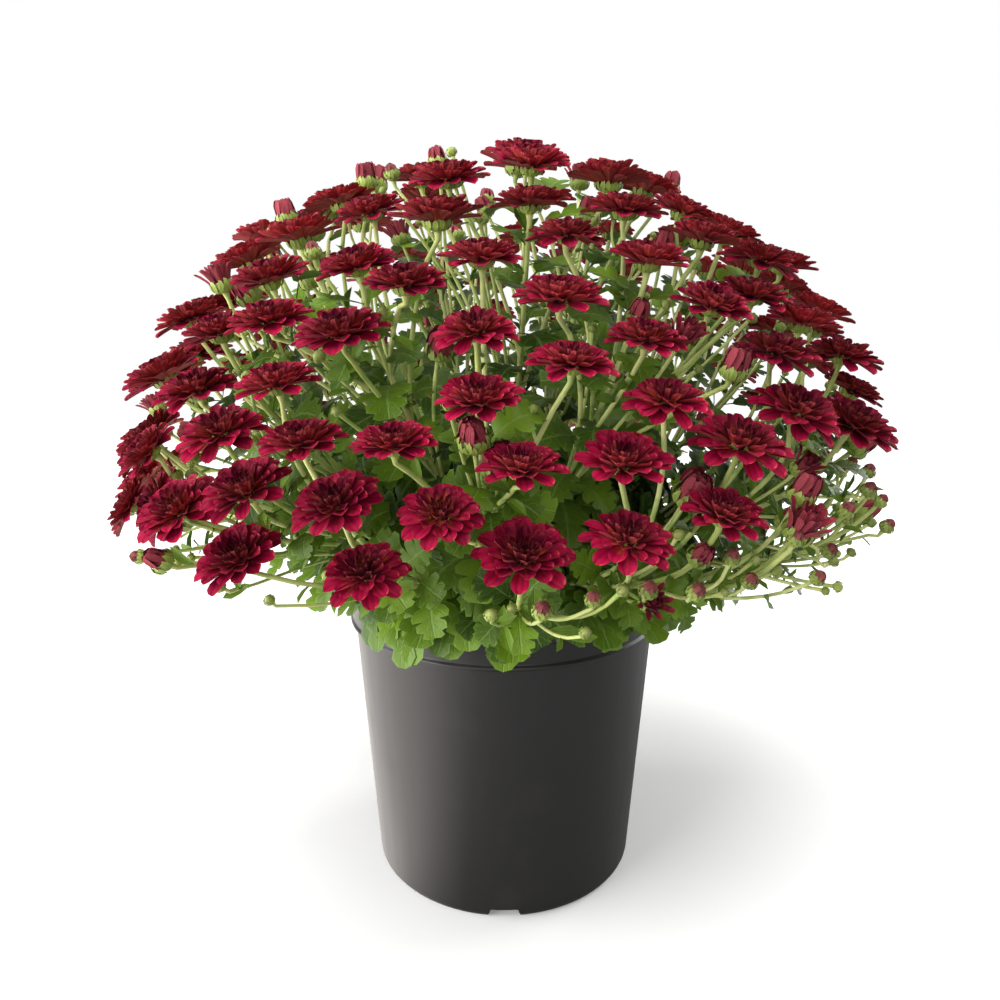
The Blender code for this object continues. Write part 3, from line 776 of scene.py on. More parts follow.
# %% Shader groups
BACK_SHIFT = 2.0
BACK_FROM = 1.5
mottle, given, result = new_tree(
    "mottle", "ShaderNodeTree",
    [("Coarse Scale", "Float", 60.0), ("Fine Scale", "Float", 400.0)],
    [("Coarse", "Float"), ("Fine", "Float")],
)
place = add(mottle, "ShaderNodeTexCoord").outputs["Object"]
for label, detail in (("Coarse", 2.0), ("Fine", 3.0)):
    inputs = {"Vector": place, "Scale": given[label + " Scale"], "Detail": detail}
    mottle.links.new(add(mottle, "ShaderNodeTexNoise", inputs).outputs[0], result[label])

petal_map, given, result = new_tree(
    "petal_map", "ShaderNodeTree",
    [("Ribs", "Float", 3.0)],
    [("Along", "Float"), ("Edge", "Float"), ("Rib", "Float"), ("Back", "Float")],
)
own_map = add(petal_map, "ShaderNodeUVMap", uv_map="blade").outputs[0]
split = add(petal_map, "ShaderNodeSeparateXYZ", {0: own_map})
back = calc(petal_map, "GREATER_THAN", split.outputs[0], BACK_FROM)
across = minus(petal_map, split.outputs[0], times(petal_map, back, BACK_SHIFT))
edge = calc(petal_map, "ABSOLUTE", times(petal_map, minus(petal_map, across, 0.5), 2.0))
wave = calc(petal_map, "COSINE", times(petal_map, edge, math.pi, given["Ribs"]))
rib = times(petal_map, plus(petal_map, wave, 1.0), 0.5)
for label, value in (("Along", split.outputs[1]), ("Edge", edge), ("Rib", rib), ("Back", back)):
    petal_map.links.new(value, result[label])
print("groups:", mottle.name, petal_map.name)

# %% [markdown]
# Every finish is a material with one Principled shader. A number that is the same all over the surface is
# set on the shader itself, and only what changes over the surface is linked.

# %% Helpers for materials


def new_finish(name, roughness, specular=0.5, **constants):
    """A material with its Principled shader. Constants are set on the shader's own sockets."""
    made = bpy.data.materials.new(name)
    made.use_nodes = True
    tree = made.node_tree
    shader = tree.nodes["Principled BSDF"]
    shader.inputs["Roughness"].default_value = roughness
    shader.inputs["Specular IOR Level"].default_value = specular
    for label, value in constants.items():
        shader.inputs[label.replace("_", " ")].default_value = value
    return made, tree, shader


def group(tree, source, **values):
    """Places a shader group in a material, with its values. Underscores in the names stand for spaces."""
    node = add(tree, "ShaderNodeGroup", node_tree=source)
    for label, value in values.items():
        node.inputs[label.replace("_", " ")].default_value = value
    return node.outputs


def attribute(tree, name):
    """A value stored on the mesh, for a material."""
    return add(tree, "ShaderNodeAttribute", attribute_name=name).outputs["Fac"]


def bump(tree, height, strength, distance, shader):
    """Raises and sinks the surface by a value, in the light only."""
    node = add(tree, "ShaderNodeBump", {"Strength": strength, "Distance": distance, "Height": height})
    tree.links.new(node.outputs[0], shader.inputs["Normal"])


def mottled(tree, noise, low, high, shader):
    """Lets the roughness vary between two values with the coarse noise."""
    tree.links.new(between(tree, noise["Coarse"], low, high), shader.inputs["Roughness"])


print("material helpers ready")

# %% [markdown]
# The bloom's petals are velvety crimson on the face and a dusty rose on the back. The oldest, outer ones
# are the reddest, and the young inner ones are nearly maroon: partly their own deeper colour and partly
# painted shade of the sunken middle of the bloom. Each has an orange streak where it starts, raised ribs,
# and a turned-up edge with a paler rim colour, a painted highlight where it would catch the light. All of
# this is painted from the petal's own map and from the place of the petal in its spiral, so it stays with
# the petal wherever the bloom is turned.

# %% Petal finish
ROSE_SHEEN = (1.0, 0.45, 0.60, 1.0)
RIM_HIGHLIGHT_SHARE = 0.30
RIB_TONE, PETAL_TONE, HEAD_TONE, MOTTLE_TONE = 0.18, 0.20, 0.16, 0.25


def petal_colour(tree, blade, whorl, outer, inner, back, rim, quill):
    """The colour of the face and of the back, by the place on the petal and in the spiral."""
    face = colour_mix(tree, ramp(tree, whorl, 0.10, 0.75), inner, outer)
    # The rim colour is a painted highlight along the turned-up edge.
    edge = times(tree, ramp(tree, blade["Edge"], 0.80, 1.0), RIM_HIGHLIGHT_SHARE)
    face = colour_mix(tree, times(tree, edge, ramp(tree, blade["Along"], 0.3, 0.7)), face, rim)
    young = ramp(tree, whorl, 0.24, 0.08)
    rolled = times(tree, ramp(tree, blade["Edge"], 0.62, 1.0), young)
    face = colour_mix(tree, times(tree, rolled, quill), face, back)
    tip_share = times(tree, ramp(tree, blade["Along"], 0.70, 1.0), 0.30)
    young_rear = colour_mix(tree, tip_share, inner, back)
    rear = colour_mix(tree, ramp(tree, whorl, 0.1, 0.8), young_rear, colour_mix(tree, 0.55, back, outer))
    return colour_mix(tree, blade["Back"], face, rear)


def streak_mask(tree, blade, whorl, noise, reach):
    """Where the streak at a petal's foot shows: along its middle, in patches, least on the last petals."""
    foot = ramp(tree, blade["Along"], reach, 0.15)
    streak = times(tree, foot, ramp(tree, blade["Edge"], 0.80, 0.10), ramp(tree, whorl, 1.0, 0.55))
    return times(tree, streak, times(tree, ramp(tree, noise["Coarse"], 0.42, 0.62), 0.90))


def petal_finish(name, outer, inner, back, base, rim, ribs, quill=0.0, base_reach=0.90):
    """The finish of coloured petals, from the colours of their parts."""
    made, tree, shader = new_finish(name, 0.5, 0.10, Sheen_Weight=0.05, Sheen_Roughness=0.4)
    shader.inputs["Sheen Tint"].default_value = ROSE_SHEEN
    blade = group(tree, petal_map, Ribs=ribs)
    noise = group(tree, mottle, Coarse_Scale=160.0, Fine_Scale=900.0)
    whorl = attribute(tree, "whorl")
    colour = petal_colour(tree, blade, whorl, outer, inner, back, rim, quill)
    colour = colour_mix(tree, streak_mask(tree, blade, whorl, noise, base_reach), colour, base)
    colour = shade(tree, colour, blade["Rib"], RIB_TONE)
    colour = shade(tree, colour, attribute(tree, "petal_tone"), PETAL_TONE)
    colour = shade(tree, colour, attribute(tree, "head_tone"), HEAD_TONE)
    colour = shade(tree, colour, noise["Coarse"], MOTTLE_TONE)
    tree.links.new(colour, shader.inputs["Base Color"])
    mottled(tree, noise, 0.45, 0.70, shader)
    relief = plus(tree, times(tree, blade["Rib"], 0.6), times(tree, noise["Fine"], 0.4))
    bump(tree, relief, 0.5, 0.0004, shader)
    return made


# The inner colour is the young petals' own deeper colour together with painted shade of the sunken middle.
petal_red = petal_finish(
    "petal_crimson", outer=(0.255, 0.0014, 0.028), inner=(0.060, 0.0010, 0.010), back=(0.46, 0.085, 0.060),
    base=(0.70, 0.150, 0.012), rim=(0.46, 0.040, 0.100), ribs=3.0, quill=0.5,
)
print("finish:", petal_red.name)

# %% [markdown]
# A petal is a thin closed blade. It is lofted row by row along a bent middle line: narrow at its foot,
# widest near its round tip, its sides turned up like a shallow trough. Eight shapes run from the rolled
# inner quills to the outermost petals, which arch back. They have a few dozen faces each, because a plant
# carries thousands.

# %% Petal shapes
FACE_COLUMNS = (-1.0, -0.5, 0.0, 0.5, 1.0)
GROOVE_SHARE = 0.4
BLADE_SHARP = 75


def blade_faces(rows, first=0):
    """The faces of one closed blade from its first point on: its foot, its rows of quads and its tip."""
    n = len(FACE_COLUMNS)
    step = n + 1
    last = first + rows * step
    faces = [[first + i for i in (0, n, n - 1, *range(n - 2, 0, -1))]]
    for i in range(rows):
        low, high = first + i * step, first + (i + 1) * step
        for a, b in (*((c, c + 1) for c in range(n - 1)), (n - 1, n), (n, 0)):
            ends_in_tip = i == rows - 1
            faces.append([low + a, low + b, last] if ends_in_tip else [low + a, low + b, high + b, high + a])
    return faces


def paint_map(mesh, maps, blade_points):
    """The map of each blade, shifted sideways on its back, so that a material can tell its sides apart."""
    step = len(FACE_COLUMNS) + 1
    layer = mesh.uv_layers.new(name="blade")
    for polygon in mesh.polygons:
        indices = [mesh.loops[i].vertex_index for i in polygon.loop_indices]
        own = [v % blade_points for v in indices]
        on_back = any(v % step == step - 1 and v != blade_points - 1 for v in own)
        for loop, v in zip(polygon.loop_indices, indices):
            layer.data[loop].uv = (maps[v][0] + BACK_SHIFT * on_back, maps[v][1])


def blade_mesh(name, rows, half_width, cup, bend, thickness=0.03):
    """A thin blade of length 1 along +Y, face up: rows of (share along, share of the width), then a tip."""
    points, maps = [], []
    y = z = previous = 0.0
    for share, width in rows:
        angle = math.radians(bend * (share + previous) / 2)
        y += (share - previous) * math.cos(angle)
        z += (share - previous) * math.sin(angle)
        previous = share
        lean = math.radians(bend * share)
        normal = (-math.sin(lean), math.cos(lean))
        half = half_width * width
        for u in FACE_COLUMNS:
            up = cup * half * abs(u) - GROOVE_SHARE * thickness * (abs(u) == 0.5)
            points.append((half * u * math.cos(cup * 0.5), y + normal[0] * up, z + normal[1] * up))
            maps.append((u / 2 + 0.5, share))
        points.append((0.0, y - normal[0] * thickness, z - normal[1] * thickness))
        maps.append((0.5, share))
    angle = math.radians(bend * (1.0 + previous) / 2)
    points.append((0.0, y + (1.0 - previous) * math.cos(angle), z + (1.0 - previous) * math.sin(angle)))
    maps.append((0.5, 1.0))
    mesh = mesh_of(name, points, blade_faces(len(rows)), sharp=BLADE_SHARP)
    paint_map(mesh, maps, len(points))
    return mesh


BROAD_ROWS = ((0.0, 0.34), (0.25, 0.55), (0.48, 0.82), (0.70, 1.0), (0.87, 0.90), (0.97, 0.52))
QUILL_ROWS = ((0.0, 0.45), (0.40, 0.85), (0.78, 1.0))
PETALS = (  # rows, half width, cup, bend in degrees
    (QUILL_ROWS, 0.170, 1.2, 62), (QUILL_ROWS, 0.180, 1.1, 58), (BROAD_ROWS, 0.215, 0.75, 50),
    (BROAD_ROWS, 0.235, 0.60, 32), (BROAD_ROWS, 0.240, 0.50, 20), (BROAD_ROWS, 0.245, 0.42, 10),
    (BROAD_ROWS, 0.245, 0.36, 0), (BROAD_ROWS, 0.240, 0.30, -12),
)
petal_kit = kit("petal", [blade_mesh(f"petal_{i}", *rule) for i, rule in enumerate(PETALS)])
print("petal shapes:", [triangles(obj.data) for obj in petal_kit.objects])

# %% [markdown]
# The heart of a bloom, a cup, a bud, the pot and the potting mix are all round about an axis, so one helper
# turns a line of points into a closed skin, as on a lathe. A point on the axis closes the shape there.

# %% Lathe shapes


def circle(radius, height, turns):
    """Points of a level circle about the axis, or one point on the axis where the radius is 0."""
    if radius == 0.0:
        return [(0.0, 0.0, height)]
    angles = [2 * math.pi * i / turns for i in range(turns)]
    return [(radius * math.cos(a), radius * math.sin(a), height) for a in angles]


def skinned(name, rings, closed=False):
    """Joins rings of points with faces, upwards. A closed skin also joins the last ring to the first."""
    bm = bmesh.new()
    rings = [[bm.verts.new(point) for point in ring] for ring in rings]
    for low, high in zip(rings, rings[1:] + (rings[:1] if closed else [])):
        turns = max(len(low), len(high))
        for i in range(turns if turns > 1 else 0):
            j = i + 1
            corners = [low[i % len(low)], low[j % len(low)], high[j % len(high)], high[i % len(high)]]
            bm.faces.new(list(dict.fromkeys(corners)))
    bmesh.ops.recalc_face_normals(bm, faces=bm.faces)
    mesh = mesh_from(bm, name)
    mesh.shade_smooth()
    return mesh


def turned(name, profile, turns, closed=False):
    """Turns a line of (radius, height) points about the axis."""
    return skinned(name, [circle(*point, turns) for point in profile], closed)


print("a circle of four points:", [tuple(round(c, 3) for c in point) for point in circle(1.0, 0.0, 4)])

# %% [markdown]
# Four blooms are grown from the one spiral tree. Only its numbers differ: a fresh bloom is still cupped, a
# full one is level, a broad one is at its widest, and an old one lets its lowest petals hang. Standing 134
# copies of these four on the plant, each turned and sized its own way, looks like 134 different flowers. A
# small closed heart fills the middle of each, so that no light shows between the innermost petals.

# %% Grow the bloom kinds
CORE_TURNS = 10


def spiral_kind(name, core, shapes, material, **values):
    """One kind of head, grown from the spiral tree. Underscores in the names stand for spaces."""
    values = {label.replace("_", " "): value for label, value in values.items()}
    values |= {"Shapes": shapes, "Kinds": len(shapes.objects), "Material": material}
    mesh = grow(name, spiral, values, turned(name + "_core", core, CORE_TURNS))
    reach = max(math.hypot(v.co.x, v.co.y) for v in mesh.vertices)
    top = max(v.co.z for v in mesh.vertices)
    print(f"{name}: {triangles(mesh)} triangles, reach {reach:.2f}, top {top:.2f}")
    return mesh


HEART_PROFILE = ((0.0, 0.14), (0.20, 0.16), (0.22, 0.20), (0.12, 0.23), (0.0, 0.23))
BLOOM_RULES = {  # count, tilt of the first and the last petal, curve of the tilt, size of the last petal
    "fresh": (74, 0.20, 1.30, 0.56, 0.84),
    "full": (78, 0.26, 1.44, 0.50, 0.84),
    "broad": (76, 0.30, 1.54, 0.44, 0.85),
    "old": (70, 0.34, 1.72, 0.52, 0.84),
}
bloom_meshes = [
    spiral_kind(
        "bloom_" + age, HEART_PROFILE, petal_kit, petal_red, Count=count, Inner_Ring=0.07, Outer_Ring=0.20,
        Inner_Height=0.22, Outer_Height=0.20, Inner_Tilt=first, Outer_Tilt=last, Tilt_Curve=curve,
        Inner_Size=0.20, Outer_Size=size, Size_Curve=0.66, Jitter=0.11, Seed=10 + number,
    )
    for number, (age, (count, first, last, curve, size)) in enumerate(BLOOM_RULES.items())
]
retire(petal_kit)

# %% [markdown]
# Under each bloom sits a scaly green cup. A half-open head is the same cup with upright, still rolled
# petals, and a bud is a ball of scales with folded petals on top. These are spirals too, with other shapes:
# a scale is a short leathery blade that hugs the cup.

# %% Finishes of the cups and of the half-open petals
CUP_GREEN = (0.235, 0.330, 0.050)
CUP_EDGE = (0.36, 0.42, 0.115)
CUP_TIP = (0.30, 0.24, 0.08)
cup_green, tree, shader = new_finish("cup_green", 0.45, 0.4)
blade = group(tree, petal_map, Ribs=1.0)
noise = group(tree, mottle, Coarse_Scale=300.0, Fine_Scale=1400.0)
colour = colour_mix(tree, ramp(tree, blade["Edge"], 0.45, 1.0), CUP_GREEN, CUP_EDGE)
colour = colour_mix(tree, times(tree, ramp(tree, blade["Along"], 0.7, 1.0), 0.6), colour, CUP_TIP)
colour = shade(tree, colour, noise["Coarse"], 0.3)
colour = shade(tree, colour, attribute(tree, "petal_tone"), 0.18)
tree.links.new(shade(tree, colour, attribute(tree, "head_tone"), 0.2), shader.inputs["Base Color"])
mottled(tree, noise, 0.36, 0.56, shader)
bump(tree, noise["Fine"], 0.35, 0.0002, shader)

half_open_red = petal_finish(
    "petal_half_open", outer=(0.25, 0.022, 0.042), inner=(0.15, 0.010, 0.022), back=(0.32, 0.075, 0.085),
    base=(0.38, 0.24, 0.08), rim=(0.42, 0.15, 0.16), ribs=5.0, base_reach=0.30,
)
bud_mauve = petal_finish(
    "petal_in_bud", outer=(0.25, 0.075, 0.070), inner=(0.22, 0.060, 0.060), back=(0.26, 0.080, 0.070),
    base=(0.30, 0.25, 0.08), rim=(0.36, 0.17, 0.13), ribs=4.0, base_reach=0.35,
)
print("finishes:", cup_green.name, half_open_red.name, bud_mauve.name)

# %% [markdown]
# Scales are thick and curl inwards over the cup. The straps of a half-open head are rolled inwards while
# they are closed, and open outwards as troughs. Folded petals are short and hooked over the top of a bud.

# %% Shapes of scales and of rolled petals
SCALE_ROWS = ((0.0, 0.60), (0.30, 1.0), (0.70, 0.85))
STRAP_ROWS = ((0.0, 0.60), (0.35, 0.85), (0.70, 1.0), (0.92, 0.70))
FOLD_ROWS = ((0.0, 0.60), (0.40, 1.0), (0.80, 0.75))


def blade_kit(name, rows, rules, **more):
    """A kit of blades on the same rows, from (half width, cup, bend) each."""
    return kit(name, [blade_mesh(f"{name}_{i}", rows, *rule, **more) for i, rule in enumerate(rules)])


scale_kit = blade_kit("scale", SCALE_ROWS, ((0.24, -0.5, 30), (0.28, -0.4, 40)), thickness=0.09)
closed_kit = blade_kit("closed_strap", STRAP_ROWS, ((0.150, -0.5, 42), (0.165, -0.5, 30), (0.175, -0.4, 20)))
open_kit = blade_kit("open_strap", STRAP_ROWS, ((0.140, 0.6, 16), (0.150, 0.6, 0), (0.155, 0.5, -26)))
fold_kit = blade_kit("fold", FOLD_ROWS, ((0.20, -0.5, 62), (0.22, -0.5, 78)))

# %% [markdown]
# The cup of a bloom is a shallow dish and that of a half-open head a deep one. A bud is a ball. Each is
# turned first, and the spiral then lays scales over it from the top down. Half-open heads come in three
# stages, from still closed to spreading.

# %% Kinds of cups, half-open heads and buds
BLOOM_CUP = ((0.0, -0.02), (0.11, 0.0), (0.20, 0.07), (0.23, 0.16), (0.18, 0.22), (0.0, 0.22))
HALF_CUP = ((0.0, -0.03), (0.26, 0.02), (0.50, 0.18), (0.58, 0.45), (0.50, 0.66), (0.0, 0.66))
HALF_HEART = ((0.0, 0.50), (0.44, 0.52), (0.46, 1.05), (0.24, 1.38), (0.0, 1.42))
BUD_BALL = ((0.0, -0.05), (0.40, 0.03), (0.72, 0.36), (0.78, 0.78), (0.55, 1.14), (0.22, 1.36), (0.0, 1.40))
CAP_HEART = ((0.0, 0.85), (0.50, 0.90), (0.56, 1.25), (0.36, 1.62), (0.0, 1.74))
bloom_cup = spiral_kind(
    "bloom_cup", BLOOM_CUP, scale_kit, cup_green, Count=26,
    Inner_Ring=0.25, Outer_Ring=0.12, Ring_Bulge=0.05, Inner_Height=0.10, Outer_Height=0.0,
    Inner_Tilt=0.30, Outer_Tilt=0.95, Inner_Size=0.24, Outer_Size=0.20, Jitter=0.08, Seed=21,
)
half_cup = spiral_kind(
    "half_open_cup", HALF_CUP, scale_kit, cup_green, Count=36,
    Inner_Ring=0.61, Outer_Ring=0.26, Ring_Bulge=0.14, Inner_Height=0.34, Outer_Height=0.0,
    Inner_Tilt=0.06, Outer_Tilt=0.95, Inner_Size=0.56, Outer_Size=0.44, Jitter=0.08, Seed=22,
)
HALF_RULES = (  # shapes, tilt, length and ring of the last petals
    (closed_kit, -0.10, 1.06, 0.58), (closed_kit, 0.06, 1.16, 0.60), (open_kit, 0.38, 1.24, 0.58),
)
half_petals = [
    spiral_kind(
        f"half_open_petals_{i}", HALF_HEART, shapes, half_open_red, Count=30,
        Inner_Ring=0.16, Outer_Ring=ring, Inner_Height=0.60, Outer_Height=0.50,
        Inner_Tilt=-0.04, Outer_Tilt=tilt, Tilt_Curve=1.4,
        Inner_Size=length * 0.86, Outer_Size=length, Jitter=0.07, Seed=23 + i,
    )
    for i, (shapes, tilt, length, ring) in enumerate(HALF_RULES)
]
bud_scales = spiral_kind(
    "bud_scales", BUD_BALL, scale_kit, cup_green, Count=40,
    Inner_Ring=0.34, Outer_Ring=0.30, Ring_Bulge=0.52, Inner_Height=1.06, Outer_Height=-0.04,
    Inner_Tilt=-0.80, Outer_Tilt=1.05, Inner_Size=0.58, Outer_Size=0.56, Jitter=0.05, Seed=26,
)
small_bud = spiral_kind(
    "small_bud", BUD_BALL, scale_kit, cup_green, Count=18,
    Inner_Ring=0.34, Outer_Ring=0.34, Ring_Bulge=0.50, Inner_Height=1.00, Outer_Height=0.0,
    Inner_Tilt=-0.70, Outer_Tilt=0.95, Inner_Size=0.70, Outer_Size=0.66, Jitter=0.06, Seed=28,
)
bud_cap = spiral_kind(
    "bud_petals", CAP_HEART, fold_kit, bud_mauve, Count=26,
    Inner_Ring=0.30, Outer_Ring=0.62, Ring_Bulge=0.04, Inner_Height=1.34, Outer_Height=0.92,
    Inner_Tilt=-0.30, Outer_Tilt=0.05, Inner_Size=0.66, Outer_Size=0.98, Jitter=0.05, Seed=27,
)
for shapes in (scale_kit, closed_kit, open_kit, fold_kit):
    retire(shapes)

# %% [markdown]
# Standing the blooms: a bloom's petals turn by any angle about its stalk, and no two heads take the same
# turn. The four ages are dealt by place. Low blooms opened first, so they are the broad and old ones, and
# the fresh ones are nearer the top. Each kind becomes one piece, because thousands of petals as separate
# objects would be unusable.

# %% Stand the open blooms
rng = np.random.default_rng(SEED + 1)
BLOOM_SIZES = (0.88, 1.10)
BLOOM_REACH = 1.06
AGE_SCATTER = 0.35
FIRST_BLOOM_SEED = 40


def head_frame(head):
    """Where a head meets its stalk, and the direction that it faces."""
    axis = facing(head["at"], head["wobble"])
    return dome_point(head["at"], head["lift"]) - axis * HEAD_DROP[head["kind"]] * head["radius"], axis


def room_in_box(base):
    """How far a head can reach sideways before it leaves the box of the CAD model."""
    low, high = cad_box
    return min(min(base[i] - low[i], high[i] - base[i]) for i in (0, 1))


def place_head(head, scale):
    """A place for the copies tree: the first shape, turned by any angle about the head's axis."""
    base, axis = head_frame(head)
    size = head["radius"] * scale
    if head["kind"] == OPEN:
        size = min(size, room_in_box(base) / BLOOM_REACH)
    return base, spun(axis, rng.uniform(0.0, 2 * math.pi)), size, 0


by_kind = {kind: [h for h in heads if h["kind"] == kind] for kind in HEAD_COUNT}
oldest_last = sorted(by_kind[OPEN], key=lambda h: h["at"].length + rng.normal(0.0, AGE_SCATTER))
for rank, head in enumerate(oldest_last):
    head["age"] = rank * len(BLOOM_RULES) // len(oldest_last)
    head["scale"] = rng.uniform(*BLOOM_SIZES)
for age, (name, mesh) in enumerate(zip(BLOOM_RULES, bloom_meshes)):
    places = [place_head(h, h["scale"]) for h in by_kind[OPEN] if h["age"] == age]
    stand_piece("blooms_" + name, places, [mesh], petal_red, FIRST_BLOOM_SEED + age)

# %% [markdown]
# The stems are drawn as lines first and given their thickness afterwards, which is how a curve with a bevel
# works. A tree turns every line into a tube at once. Its round section has small ridges, because
# chrysanthemum stems are ribbed, and its radius is read from the line, so a stem thins out upwards and
# swells a little under each head.

# %% Geometry Nodes tree: ribbed tubes along lines
tubes, given, result = new_tree(
    "ribbed_tubes", "GeometryNodeTree",
    [
        ("Geometry", "Geometry", None), ("Sides", "Int", 12),
        ("Rib Depth", "Float", 0.07), ("Material", "Material", None),
    ],
    [("Geometry", "Geometry")],
)
along = add(tubes, "GeometryNodeMeshToCurve", {"Mesh": given["Geometry"]}).outputs[0]
inputs = {"Resolution": given["Sides"], "Radius": 1.0}
round_section = add(tubes, "GeometryNodeCurvePrimitiveCircle", inputs).outputs[0]
odd = calc(tubes, "MODULO", add(tubes, "GeometryNodeInputIndex").outputs[0], 2.0)
level = minus(tubes, 1.0, times(tubes, odd, given["Rib Depth"]))
around = add(tubes, "GeometryNodeInputPosition").outputs[0]
ribbed = add(tubes, "ShaderNodeVectorMath", {0: around, 3: level}, operation="SCALE").outputs[0]
inputs = {"Geometry": round_section, "Position": ribbed}
section = add(tubes, "GeometryNodeSetPosition", inputs).outputs[0]
tube = add(tubes, "GeometryNodeCurveToMesh", {
    "Curve": along, "Profile Curve": section, "Scale": stored(tubes, "thickness", "FLOAT"), "Fill Caps": True,
}).outputs[0]
smooth = add(tubes, "GeometryNodeSetShadeSmooth", {"Geometry": tube}).outputs[0]
realised = add(tubes, "GeometryNodeRealizeInstances", {0: smooth}).outputs[0]
painted(tubes, realised, given["Material"], result)


def line_mesh(name, lines):
    """Lines for the tube tree: each is a list of points, their radii, and a tone for the material."""
    points, edges, radii, tones = [], [], [], []
    for path, thickness, tone in lines:
        first = len(points)
        points.extend(tuple(p) for p in path)
        edges.extend((i, i + 1) for i in range(first, len(points) - 1))
        radii.extend(thickness)
        tones.extend([tone] * len(path))
    mesh = bpy.data.meshes.new(name)
    mesh.from_pydata(points, edges, [])
    write_values(mesh, "thickness", "FLOAT", radii)
    write_values(mesh, "stem_tone", "FLOAT", tones)
    return mesh


print("tube tree:", len(tubes.nodes), "nodes")

# %% [markdown]
# Fresh chrysanthemum stems are a pale yellow green, each a little different, with a fine grain and with
# darker green patches of painted shade, laid at random. The tone of each stem is stored on its line, and
# the finish reads it.

# %% Stem finish
STEM_FRESH = (0.41, 0.49, 0.130)
STEM_PALE = (0.68, 0.72, 0.29)
STEM_PAINTED_SHADE = (0.27, 0.39, 0.095)
stem_green, tree, shader = new_finish("stem_green", 0.5, 0.3)
noise = group(tree, mottle, Coarse_Scale=90.0, Fine_Scale=900.0)
colour = colour_mix(tree, attribute(tree, "stem_tone"), STEM_FRESH, STEM_PALE)
# Darker patches of painted shade, laid by the coarse noise.
colour = colour_mix(tree, ramp(tree, noise["Coarse"], 0.45, 0.75), colour, STEM_PAINTED_SHADE)
tree.links.new(shade(tree, colour, noise["Fine"], 0.10), shader.inputs["Base Color"])
mottled(tree, noise, 0.40, 0.60, shader)
bump(tree, noise["Fine"], 0.25, 0.0002, shader)
print("finish:", stem_green.name)

# %% [markdown]
# Each spray has one main stem to its top bloom, and its other heads stand on side stalks that leave the
# stem at joints. A stalk doesn't go straight to its head. It slides from the place of its stem in the plan
# of the dome to the place of its head while it follows the same upward flow as the stems, so stalks run
# side by side without crossing. They are the pale verticals between the blooms in the photograph.

# %% Stems and side stalks
STEM_ROWS = 24
STALK_ROWS = 14
FIRST_JOINT = 0.42
JOINT_STEP = 0.11
STALKS_PER_JOINT = 2
ROOT_DEPTH = 0.006
STEM_BASE_RADIUS = 0.0017
STEM_TOP_RADIUS = 0.00105
STALK_RADIUS = {OPEN: 0.00098, HALF: 0.00092, COLOUR: 0.00076, GREEN: 0.00068}
NECK_RADIUS = {OPEN: 0.0016, HALF: 0.0015, COLOUR: 0.0011, GREEN: 0.0009}
NECK_SHARE = 0.94
NECK_LENGTH = 0.0030


def growth_path(spray, head, joint, rows):
    """The points of a stem or stalk from a joint of its spray to the foot of a head."""
    base, axis = head_frame(head)
    shift = base - dome_point(head["at"])
    path = []
    for s in (i / (rows - 1) for i in range(rows)):
        plan = spray["at"].lerp(head["at"], s)
        path.append(flow_point(plan, joint + (1 - joint) * s) + shift * s * s)
    path[-1] = base
    path[-2] = base - axis * NECK_LENGTH
    return path


def thickness_along(rows, low, high, neck):
    """Radii that taper from low to high and then flare into the neck under the head."""
    shares = np.linspace(0, 1, rows)
    radii = low + (high - low) * shares
    flare = np.clip((shares - NECK_SHARE) / (1 - NECK_SHARE), 0, 1)
    return [float(r) for r in radii + (neck - high) * flare**2]


def joints_of(spray):
    """The side heads of a spray with the share of the main stem where each one's stalk leaves it."""
    sides = sorted(spray["sides"], key=lambda h: -(h["at"] - spray["at"]).length)
    levels = math.ceil(len(sides) / STALKS_PER_JOINT)
    found = []
    for level in range(levels):
        at_level = sides[level * len(sides) // levels:(level + 1) * len(sides) // levels]
        found += [(head, FIRST_JOINT + level * JOINT_STEP) for head in at_level]
    return found


lines = []
for spray in sprays:
    top = spray["top"]
    top["path"] = growth_path(spray, top, 0.0, STEM_ROWS)
    thickness = thickness_along(STEM_ROWS, STEM_BASE_RADIUS, STEM_TOP_RADIUS, NECK_RADIUS[top["kind"]])
    rooted = [top["path"][0] - UP * ROOT_DEPTH, *top["path"]]
    lines.append((rooted, [STEM_BASE_RADIUS, *thickness], rng.uniform(0, 1)))
    for head, joint in joints_of(spray):
        head["path"] = growth_path(spray, head, joint, STALK_ROWS)
        stalk = STALK_RADIUS[head["kind"]]
        thickness = thickness_along(STALK_ROWS, stalk, stalk, NECK_RADIUS[head["kind"]])
        lines.append((head["path"], thickness, rng.uniform(0, 1)))
print(len(lines), "stems and stalks")

# %% [markdown]
# About half of the blooms and half-open heads have a small bud on a short side stalk below them, and every
# stalk has a few narrow bracts. They make the real plant look busy between its blooms. A side bud that
# would open inside another flower head is left out.

# %% Side buds and bracts
FULL_TURN = 6.28
SIDE_BUD_SHARE = 0.5
SIDE_BUD_SIZES = (0.0019, 0.0032)
SIDE_STALK_LENGTHS = (0.008, 0.017)
SIDE_STALK_RADII = (0.00075, 0.0007, 0.00065, 0.00065, 0.0007, 0.0009)
BRACTS_PER_STALK = 3
BRACT_SIZES = (0.006, 0.014)
BRACT_LEAN = (0.5, 1.1)
head_places = [(dome_point(h["at"], h["lift"]), h["radius"]) for h in heads]
side_buds, bracts = [], []


def meets_head(points):
    """Whether any of these points is inside a flower head."""
    return any((p - middle).length < radius for p in points for middle, radius in head_places)


def sideways(ahead, turn):
    """A direction square to a stem, turned about it."""
    return Matrix.Rotation(turn, 3, ahead) @ ahead.orthogonal().normalized()


def bent(start, crown, tip):
    """A smooth path from start to tip, pulled towards crown."""
    return lambda s: start * (1 - s) ** 2 + crown * 2 * s * (1 - s) + tip * s * s


def joint_on(path, tenths, from_end):
    """A random point of a stalk, past some tenths of it, and the direction there."""
    i = int(rng.integers(len(path) * tenths // 10, len(path) - from_end))
    return path[i], (path[i + 1] - path[i]).normalized()


